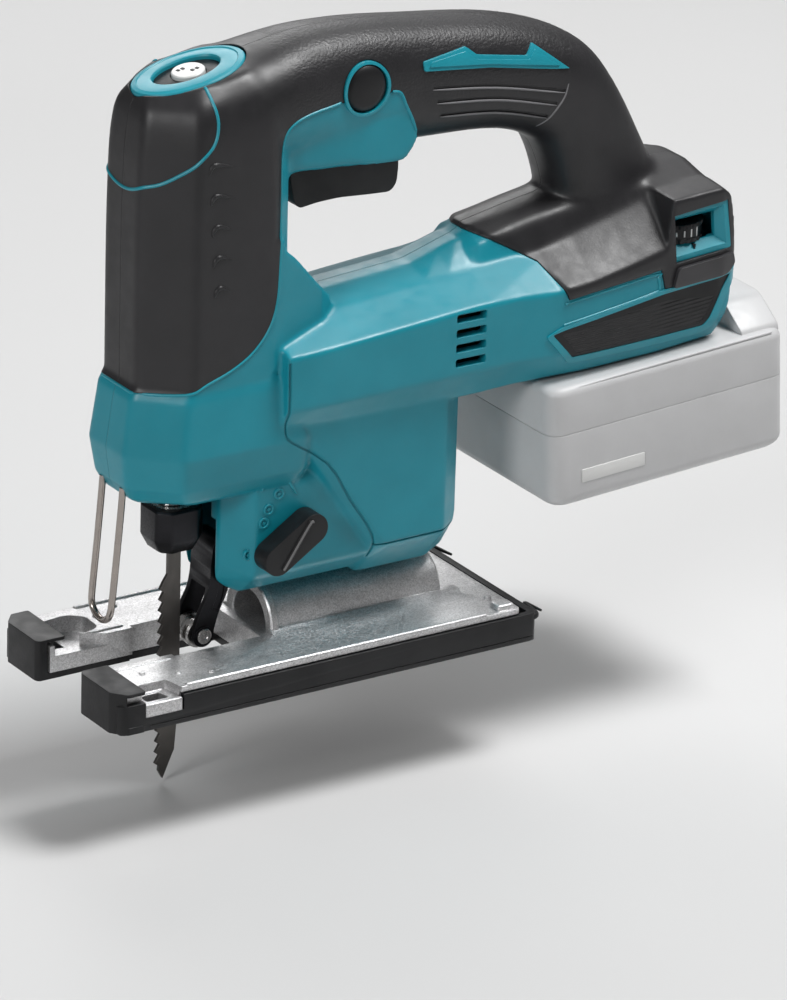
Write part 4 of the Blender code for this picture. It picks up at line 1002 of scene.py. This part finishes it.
def make_shroud():
    """The rear shroud's ribbed side panels and their frames, the pads under the dial, and the strip's rim."""
    outer = both_sides("frame", rounded(PANEL_FRAME, 1.0))
    cut(outer, prism("hole", rounded(PANEL, 0.8), -REACH, REACH))
    finish(raised(outer, 0.6, 0.8), "teal_trim", "housing")
    panel = raised(both_sides("panel", rounded(PANEL, 0.7)), 0.3, 0.9)
    ribs = []
    for i in range(13):
        low = 97.6 + 1.42 * i
        ribs.append(band([(88.0, low - 0.6), (126.0, low + 0.9), (164.0, low + 3.4)], 0.92))
    corners = [(93.2, 107.6), (99.4, 100.0), (150.2, 101.8), (152.6, 104.4), (155.6, 110.4), (134.6, 112.6)]
    tool = merge("ribs", [both_sides("rib", rib) for rib in ribs])
    keep(tool, prism("rib_area", rounded(corners, 0.9), -REACH, REACH))
    cut(tool, offset(-0.7))
    cut(panel, tool)
    finish(panel, "black_plastic", "housing")
    pad = raised(both_sides("pad", rounded(DIAL_PAD, 1.2)), 1.5, 0.2)
    finish(pad, "rubber_ribs", "housing")
    rim = line([(94.6, 118.3), (97.0, 118.9), (129.6, 122.7), (131.6, 121.4), (132.2, 118.0), (129.8, 116.2),
                (108.0, 113.0), (93.6, 111.0)], 5)
    finish(beads("strip_rims", [rim], 0.5), "teal_trim", "housing")


def make_dial():
    """The speed wheel with its scale marks, and the sloping coloured frame of its window."""
    x, y, z = DIAL_AT
    radius, groove_radius, half_thick, groove_half = 10.5, 10.0, 3.3, 1.9
    rim = []
    for i in range(144):
        knurl = 0.4 if i % 6 in (2, 3) else 0.0
        angle = 2 * math.pi * i / 144
        rim.append((x + (radius - knurl) * math.cos(angle), y + (radius - knurl) * math.sin(angle)))
    wheel = soften(prism("speed_wheel", rim, z - half_thick, z + half_thick, "XY"), 0.25, 2, 40)
    band_cut = prism("band_cut", arc((x, y), 20.0, 0, 357, 119), z - groove_half, z + groove_half, "XY")
    cut(band_cut, prism("band_core", arc((x, y), groove_radius, 0, 357, 119), z - 3, z + 3, "XY"))
    cut(wheel, band_cut)
    finish(wheel, "black_plastic", "dial", ["speed_dial"])
    marks = []
    for i, tall in enumerate((0.5, 0.8, 1.1, 1.4, 1.7)):
        mark = block("mark", (-0.28, -10.15, -tall), (0.28, -9.7, tall), 0.08, 2)
        marks.append(placed(mark, turned((x, y, z), -42 + 16 * i, "Z")))
    finish(merge("dial_marks", marks), "white_plastic", "dial")
    frame_outer, frame_inner = -32.3, -28.8
    outer = prism("dial_frame", rounded(DIAL_FRAME, 0.8), frame_outer, frame_inner)
    funnel = loft("funnel", [[(px, level, pz) for px, pz in outline] for level, outline in (
        (-33.5, [(137.0, 142.6), (158.7, 144.5), (161.0, 128.0), (138.6, 126.2)]),
        (-29.6, [(138.2, 140.0), (155.6, 140.8), (156.4, 131.7), (138.6, 130.6)]), (-28.0, DIAL_WINDOW))])
    cut(outer, funnel)
    pointer = prism("pointer", [(146.4, 130.6), (147.4, 130.6), (146.9, 128.0)], -31.6, -29.2)
    finish(outer, "teal_trim", "housing")
    finish(pointer, "black_plastic", "housing")


def make_lever():
    """The orbital lever: a rounded paddle with a raised pointer ridge, and a light grey line along the ridge
    that is a painted highlight.
    """
    x, z = LEVER_AT
    turn = turned((x, 0, z), -LEVER_REST, "Y")
    reach, radius = 8.0, 5.4
    ends = arc((reach, 0), radius, -90, 90, 24) + arc((-reach, 0), radius, 90, 270, 24)
    outer_face, inner_face = -30.0, -22.4
    knob = soften(prism("orbital_knob", ends, outer_face, inner_face), 1.5, 5)
    add(knob, rod("shaft", (0, -23.0, 0), (0, -12.0, 0), 4.2))
    outline = rounded([(-9.0, -3.2), (-7.6, -4.2), (9.4, 3.0), (8.2, 4.3)], 0.5)
    ridge = soften(prism("ridge", outline, outer_face - 0.6, outer_face + 1.0), 0.4, 3)
    finish(placed(add(knob, ridge), turn), "black_plastic", "lever", ["orbital_lever"])
    # A light grey line along the ridge, painted as its highlight.
    route = [(-8.6, -30.6, -3.4), (-7.0, -30.65, -2.9), (7.2, -30.65, 3.1), (9.2, -30.6, 3.0)]
    pointer = tube("lever_ridge_highlight", route, 0.42)
    finish(placed(pointer, turn), "lever_painted_highlight", "lever")


def make_marks():
    """Raised rings with a dot in an arc round the lever, and three short bars, in place of symbols."""
    pieces = []
    for px, pz in ((-12.3, 66.8), (-16.2, 62.0), (-18.0, 57.4), (-22.6, 46.0)):
        y = on_side([(px, pz)], -1)[0].y
        profile = [(1.25, -0.6), (2.05, -0.6), (2.05, 0.3), (1.85, 0.5), (1.45, 0.5), (1.25, 0.3)]
        ring = lathe("mark", (px, y, pz), (0, -1, 0), profile, 32)
        pieces += [ring, rod("mark", (px, y + 0.6, pz), (px, y - 0.35, pz), 0.6, 20)]
    for outline in (rectangle((-21.4, 69.2), (-20.5, 73.6)), rectangle((-19.4, 69.0), (-18.5, 73.4)),
                    [(-6.0, 65.6), (-4.9, 65.0), (-7.9, 71.0), (-9.0, 70.4)]):
        y = on_side([outline[0]], -1)[0].y
        pieces.append(soften(prism("mark", outline, y - 0.45, y + 0.8), 0.2, 2))
    finish(merge("lever_marks", pieces), "teal_trim", "housing")


def collar_section(half, z):
    """A square with wide flats and cut, slightly rounded corners."""
    flat = 0.56 * half
    corners = [(half, -flat), (half, flat), (flat, half), (-flat, half), (-half, flat), (-half, -flat),
               (-flat, -half), (flat, -half)]
    return [(PLUNGER_X + px, py, z) for px, py in rounded(corners, 1.0)]


def make_blade_parts():
    """Blade clamp collar, guard wire, guide roller and its fork."""
    x = PLUNGER_X
    levels = ((6.4, 46.0), (7.2, 46.6), (8.9, 50.2), (9.2, 51.0), (9.2, 61.2), (8.6, 62.0))
    collar = loft("clamp_collar_ring", [collar_section(half, z) for half, z in levels])
    cut(collar, rod("collar_hole", (x, 0, 40), (x, 0, 70), 7.1))
    finish(collar, "black_steel", "clamp_collar", ["clamp_sleeve"])
    apart, wire_radius = 6.5, 1.2
    guard = [(-64.0, -apart, 74.0), (-64.6, -apart, 66.0), (-66.0, -apart, 50.0), (-67.6, -apart, 33.5)]
    angles = [math.pi * i / 8 for i in range(1, 8)]
    bend = [(-68.0, -apart * math.cos(a), 31.5 - apart * math.sin(a)) for a in angles]
    route = guard + bend + [(px, -py, pz) for px, py, pz in reversed(guard)]
    finish(tube("guard_wire", route, wire_radius, 14, 3), "wire", "housing", ["wire_guard"])
    make_fork()


def make_fork():
    """The roller's curved fork with recessed cheeks, the pin's washers and the flanged roller."""
    pin, top = (-31.5, 13.5), (-24.5, 44.0)
    half_width, half_gap, half_boss = 6.5, 4.6, 6.9
    front = line([(-35.3, 15.6), (-33.6, 21.0), (-30.6, 27.0), (-29.4, 33.0), (-29.0, 39.0),
                  (-28.4, 44.4)], 5)
    back = line([(-20.6, 44.0), (-20.7, 36.0), (-22.4, 28.0), (-25.6, 21.0), (-27.4, 15.0)], 5)
    outline = front + arc(top, 3.9, 165, 15, 12) + back + arc(pin, 4.1, 10, -190, 20)
    fork = prism("roller_fork_arm", outline, -half_width, half_width)
    cut(fork, block("gap", (-60.0, -half_gap, 0.0), (-22.4, half_gap, 30.0)))
    soften(fork, 0.5, 3, 40)
    for side in (-1, 1):
        low, high = sorted((side * 6.0, side * 9.0))
        recess = line([(-27.0, 22.0), (-25.0, 28.0), (-24.4, 36.0)], 4)
        cut(fork, prism("recess", band(recess, 2.6), low, high))
        add(fork, *[rod("boss", (px, side * 6.0, pz), (px, side * half_boss, pz), radius, 40)
                    for (px, pz), radius in ((pin, 3.5), (top, 3.2))])
    finish(fork, "black_steel", "fork", ["roller_fork"])
    washers = [lathe("washer", (pin[0], side * 6.95, pin[1]), (0, side, 0),
                     [(0, 0), (2.7, 0), (2.7, 0.35), (2.3, 0.7), (1.1, 0.7), (0.9, 0.4), (0, 0.4)], 36)
               for side in (-1, 1)]
    finish(merge("pin_washers", washers), "steel", "fork", ["roller_pin"])
    profile = [(2.3, -4.1), (4.7, -4.1), (5.3, -3.5), (5.3, -1.5), (4.6, -1.1), (4.6, 1.1), (5.3, 1.5),
               (5.3, 3.5), (4.7, 4.1), (2.3, 4.1)]
    finish(lathe("guide_roller_ring", (pin[0], 0, pin[1]), (0, 1, 0), profile, 64), "steel", "roller",
           ["guide_roller"])


# The base: half widths, ends and heights of the casting, its rim, the sole cover and the horn caps

SLOT_END = -41.0                    # centre of the blade slot's round end
CAST_HALF, CAST_FRONT, CAST_REAR = 36.2, -80.0, 76.4
CAST_FLOOR, CAST_TOP = 2.9, 12.5
RIM_HALF, RIM_FRONT = 37.7, -73.2
SOLE_HALF, SOLE_FRONT, SOLE_REAR, SOLE_TOP = 38.6, -82.9, 82.9, 10.3
CAP_FRONT, CAP_BACK, CAP_TOP = -84.4, -73.5, 14.6
TUNNEL_FRONT, TUNNEL_Z = -9.6, 13.0


def base_slab(name, half, front, rear, slot_half, low, high, corner, edge=0.0):
    """One level of the base: round-cornered in plan, with two horns beside the blade slot."""
    outline = rounded(rectangle((front, -half), (rear, half)), corner)
    slab = prism(name, outline, low, high, "XY")
    ahead = front - 9.0
    slot = [(ahead, -slot_half)] + arc((SLOT_END, 0.0), slot_half, -90, 90, 24) + [(ahead, slot_half)]
    cut(slab, prism("slot", slot, low - 5.0, high + 5.0, "XY"))
    return soften(slab, edge, 4) if edge else slab


def make_casting():
    """The cast base plate: horns with pockets, rolled side edges and the dust tunnel's thick mouth."""
    casting = base_slab("base_casting", CAST_HALF, CAST_FRONT, CAST_REAR, 12.5, CAST_FLOOR, CAST_TOP, 2.0)
    add(casting, base_slab("rim", RIM_HALF, RIM_FRONT, CAST_REAR, 12.6, 10.7, 12.7, 2.0, 0.7))
    cut(casting, block("blade_room", (-47.9, -14.5, 0.0), (-14.1, 14.5, 30.0)))
    section = [(-17.2, 11.0), (-17.2, 12.4), (-14.2, 14.0), (14.2, 14.0), (17.2, 12.4), (17.2, 11.0)]
    apron = prism("apron", section, -10.0, 66.0, "YZ")
    profile = [(10.4, 0.5), (10.9, 0.0), (14.2, 0.0), (14.8, 0.6), (14.8, 2.6), (14.2, 3.3), (13.3, 3.6),
               (13.0, 4.4), (13.0, 68.6), (12.2, 69.6), (10.4, 69.6)]
    tunnel = lathe("tunnel", (TUNNEL_FRONT, 0, TUNNEL_Z), (1, 0, 0), profile, 120)
    cut(tunnel, block("below", (-20.0, -20.0, -10.0), (80.0, 20.0, 12.45)))
    cut(apron, rod("bore", (-20.0, 0, TUNNEL_Z), (80.0, 0, TUNNEL_Z), 11.5, 60))
    add(casting, soften(apron, 0.5, 3), tunnel)
    for side in (-1, 1):
        add(casting, side_block("edge", side, (-57.0, 35.6, 11.0), (63.0, RIM_HALF, 13.4), 0.85, 4))
        add(casting, side_block("edge", side, (-72.8, 15.0, 11.0), (-50.0, 16.4, 13.2), 0.5, 3))
        add(casting, side_block("lug", side, (67.8, 31.0, 11.0), (74.6, 36.6, 14.6), 0.9, 3),
            rod("lug_pin", (71.0, side * 25.0, 12.0), (71.0, side * 25.0, 13.8), 1.2, 24))
        nubs = ((-64.9, 22.0), (-54.0, 27.1), (-44.0, 31.5))
        add(casting, *[rod("nub", (px, side * py, 12.0), (px, side * py, 13.3), 1.2, 20, 0.9)
                       for px, py in nubs])
    add(casting, block("recess_frame", (-73.2, -38.5, 4.2), (-58.8, -34.0, 9.4), 0.6, 3))
    cut(casting, *pockets())
    outline = rounded(rectangle((36.0, -6.5), (50.0, 1.5)), 1.0)
    cut(casting, soften(prism("window", outline, 24.7, 30.0, "XY"), 0.3, 2))
    add(casting, block("window_rib", (38.0, -5.0, 24.0), (44.0, 0.0, 25.1), 0.3))
    finish(casting, "cast_aluminium", "base", ["base_plate"], 38)


def pockets():
    """What the casting leaves open: the far horn's stepped pocket and the near horn's framed recess."""
    floor = rounded([(-77.5, 18.0), (-77.5, 31.0), (-62.5, 33.0), (-57.0, 29.0), (-57.5, 19.0),
                     (-63.0, 16.9)], 2.5)
    step = rounded([(-78.5, 12.0), (-78.5, 18.5), (-67.0, 17.6), (-62.0, 15.2), (-57.0, 12.0)], 1.2)
    hole = rounded([(-76.4, 21.0), (-76.4, 28.6), (-69.5, 28.6), (-69.5, 21.0)], 0.8)
    recess = rounded([(-73.4, -39.0), (-58.6, -39.0), (-60.6, -29.4), (-73.4, -29.4)], 1.2)
    well = rounded([(-71.4, -36.2), (-63.0, -36.2), (-64.0, -31.2), (-71.4, -31.2)], 0.8)
    made = [prism("floor", floor, 6.6, 20.0, "XY"), prism("step", step, 8.6, 20.0, "XY"),
            prism("hole", hole, 1.0, 20.0, "XY"), prism("recess", recess, 9.4, 20.0, "XY"),
            prism("well", well, 1.0, 20.0, "XY")]
    return [soften(tool, 0.5, 3) for tool in made]


def make_cover():
    """The black sole cover: its wall, the chamfered caps on both horns and two hooked rear prongs."""
    cover = base_slab("base_cover_shell", SOLE_HALF, SOLE_FRONT, SOLE_REAR, 13.7, 0.0, SOLE_TOP, 3.0, 0.8)
    cut(cover, base_slab("hollow", 36.4, -80.3, 80.0, 9.5, 2.5, 30.0, 1.5),
        block("blade_room", (-48.2, -14.8, -5.0), (-13.8, 14.8, 30.0)),
        rod("bolt_access", (30.0, 0, -5.0), (30.0, 0, 10.0), 6.0, 40))
    for side in (-1, 1):
        cut(cover, side_block("step", side, (-71.0, 38.3, 1.6), (81.0, 40.0, 2.0)))
        outline = [(CAP_FRONT, 15.2), (CAP_FRONT, 33.6), (-80.2, 38.8), (CAP_BACK, 38.8), (CAP_BACK, 13.8),
                   (-83.4, 13.8)]
        cap = prism("cap", rounded([(px, side * py) for px, py in outline], 0.8), 0.0, CAP_TOP, "XY")
        soften(cap, 1.2, 4, 40)
        cut(cap, block("room", (-80.4, -50.0, 2.5), (-60.0, 50.0, 13.5)))
        add(cover, cap)
        cut(cover, side_block("notch", side, (-73.3, 36.0, 4.8), (-58.4, 45.0, 20.0), 0.5))
        middle, root = side * 28.0, side * 36.5
        route = [(79.0, root, 8.0), (83.4, root, 8.6), (84.6, middle, 9.2), (85.6, middle - 8.5, 9.6)]
        add(cover, tube("prong", route, 1.5, 14, taper=lambda t: 1 - 0.7 * t))
    cut(cover, block("well", (-71.4, -36.2, 2.5), (-63.0, -31.2, 20.0)))
    finish(cover, "black_plastic", "base", ["base_cover"])


def soft_box(name, low, high, corner, edge_low, edge_high, steps=6):
    """A box with round corners in plan and its own rounding along the lower and upper edges."""
    levels = []
    for i in range(steps + 1):
        angle = math.pi / 2 * i / steps
        levels.append((low[2] + edge_low * (1 - math.cos(angle)), edge_low * (1 - math.sin(angle))))
    for i in range(steps + 1):
        angle = math.pi / 2 * (1 - i / steps)
        levels.append((high[2] - edge_high * (1 - math.cos(angle)), edge_high * (1 - math.sin(angle))))
    rings = []
    for z, inset in levels:
        inner = [(x + inset * (1 if x == low[0] else -1), y + inset * (1 if y == low[1] else -1))
                 for x, y in rectangle(low, high)]
        rings.append([(x, y, z) for x, y in rounded(inner, max(0.2, corner - 0.4 * inset), 8)])
    return loft(name, rings)


def make_battery():
    """The battery's two shells, rail and rear hump, a light line along each top edge that is a painted
    highlight, and a plain bar.
    """
    length, width, height = BATTERY_SIZE
    half = width / 2
    front, split, half_seam, corner, sharp = 0.2, -17.0, 0.03, 7.0, 0.08
    lower = soft_box("battery_lower_shell", (front, -half, -height), (length, half, split - half_seam),
                     corner, 5.0, sharp)
    upper = soft_box("battery_upper_shell", (front, -half, split + half_seam), (length, half, 0.0),
                     corner, sharp, 3.2)
    rail = soft_box("rail", (4.0, -20.4, -3.0), (74.0, 20.4, 7.4), 1.5, 0.3, 0.8)
    section = [(-33.5, -3.0), (-33.5, 0.6), (-22.0, 9.2), (22.0, 9.2), (33.5, 0.6), (33.5, -3.0)]
    hump = soften(prism("hump", rounded(section, 3.0, 5), 81.6, length - 1.2, "YZ"), 1.6, 4)
    add(upper, rail, hump)
    button_room = block("button_room", (length - 10.0, -10.6, -22.6), (length + 10.0, 10.6, 3.0), 1.0)
    cut(upper, button_room, keep_others=True)
    cut(lower, button_room)
    stripes, lines = [], []
    for side in (-1, 1):
        wall = side * half
        stripes.append(block("stripe", (12.0, wall - 0.3, -36.0), (38.0, wall + 0.12, -31.2), 0.1))
        # Light lines along the top edges: painted highlights of the rounded edges.
        route = [(9.0, side * 35.5, -1.5), (16.0, side * 35.7, -0.9), (50.0, side * 35.9, -0.5),
                 (length - 6.0, side * 35.9, -0.5)]
        lines.append(tube("line", route, 0.5))
    for obj, finish_name, nodes in ((lower, "battery_grey", ["battery_case_lower"]),
                                    (upper, "battery_grey", ["battery_case_upper"]),
                                    (merge("battery_highlight_lines", lines), "battery_painted_highlight", []),
                                    (merge("battery_stripes", stripes), "white_plastic", [])):
        finish(placed(obj, BATTERY_FRAME), finish_name, "battery", nodes)


def dress_cad():
    """Gives the CAD nodes whose shape is kept as it is a finished material."""
    finishes = {
        "copper": ["motor_stator"],
        "brass": ["guide_bush_lower", "guide_bush_upper"],
        "steel": ["rotor_core", "rotor_shaft", "front_bearing", "rear_bearing", "pinion", "crank_gear",
                  "crank_pin", "gear_axle", "plunger_rod", "plunger_yoke", "clamp_body", "counterweight",
                  "fork_pivot"],
        "black_steel": ["base_bolt", "hex_key"] + [f"housing_screw_{i}" for i in range(1, 6)],
        "black_plastic": ["switch_unit", "cooling_fan", "terminal_block", "battery_button"],
        "board_green": ["control_board"],
        "lens": ["lamp_lens"],
        "blade_steel": ["saw_blade"],
        "teal": ["battery_cells"],
    }
    for finish_name, names in finishes.items():
        for name in names:
            materials = NODES[name].data.materials
            materials.clear()
            materials.append(MATERIALS[finish_name])


# Camera, floor and light

def look_from(location, right, up, back):
    matrix = Matrix.Identity(4)
    for column, axis in enumerate((right, up, back)):
        for row in range(3):
            matrix[row][column] = axis[row]
    matrix.translation = location
    return matrix


def make_stage():
    """The camera at the photo's angle, a pale floor, a soft white world and four area lamps."""
    data = bpy.data.cameras.new("camera")
    data.lens = 252.0
    data.sensor_width = 36.0
    data.clip_end = 50.0
    camera = bpy.data.objects.new("camera", data)
    bpy.context.scene.collection.objects.link(camera)
    camera.matrix_world = look_from((-1.1722, -1.8440, 0.9570), (0.83996, -0.54194, 0.02791),
                                    (0.18518, 0.33459, 0.92399), (-0.51008, -0.77094, 0.38139))
    bpy.context.scene.camera = camera
    bm = bmesh.new()
    bmesh.ops.create_grid(bm, x_segments=1, y_segments=1, size=6.0)
    bmesh.ops.translate(bm, vec=(0, 0, FLOOR_Z), verts=bm.verts)
    floor = from_bmesh("floor", bm)
    look = Look("floor")
    tone = look.mix(look.ramp(look.noise(3.0), 0.3, 0.7), (0.60, 0.60, 0.60), (0.62, 0.62, 0.62))
    floor.data.materials.append(look.shade({"Base Color": tone, "Roughness": 0.7}))
    world = bpy.data.worlds.new("studio")
    world.use_nodes = True
    world.node_tree.nodes["Background"].inputs["Color"].default_value = (1.0, 1.0, 1.0, 1.0)
    world.node_tree.nodes["Background"].inputs["Strength"].default_value = 0.175
    bpy.context.scene.world = world
    # Name, place, size, power
    lamps = (
        ("key", (-1.35, -0.55, 0.75), 0.45, 9.5),
        ("top", (0.58, -0.30, 1.45), 0.50, 24.0),
        ("back", (0.5, 1.3, 0.9), 0.7, 6.0),
        ("rim", (0.9, 0.9, 1.2), 0.9, 2.5),
    )
    aim = Vector((0.03, 0, 0.1))
    for name, at, size, power in lamps:
        light = bpy.data.lights.new(name, "AREA")
        light.size = size
        light.energy = power
        lamp = bpy.data.objects.new(name, light)
        bpy.context.scene.collection.objects.link(lamp)
        lamp.location = at
        lamp.rotation_euler = (aim - Vector(at)).to_track_quat("-Z", "Y").to_euler()
    bpy.context.scene.view_settings.view_transform = "Standard"


make_stage()
FORM = moulded_form()
SURFACE = tree_of(FORM)
make_body()
make_grip_lines()
make_column_grips()
make_edge_beads()
make_piping()
make_top()
make_wing()
make_lock_button()
make_trigger()
make_shroud()
make_dial()
make_lever()
make_marks()
make_blade_parts()
make_casting()
make_cover()
make_battery()
dress_cad()
discard(FORM)
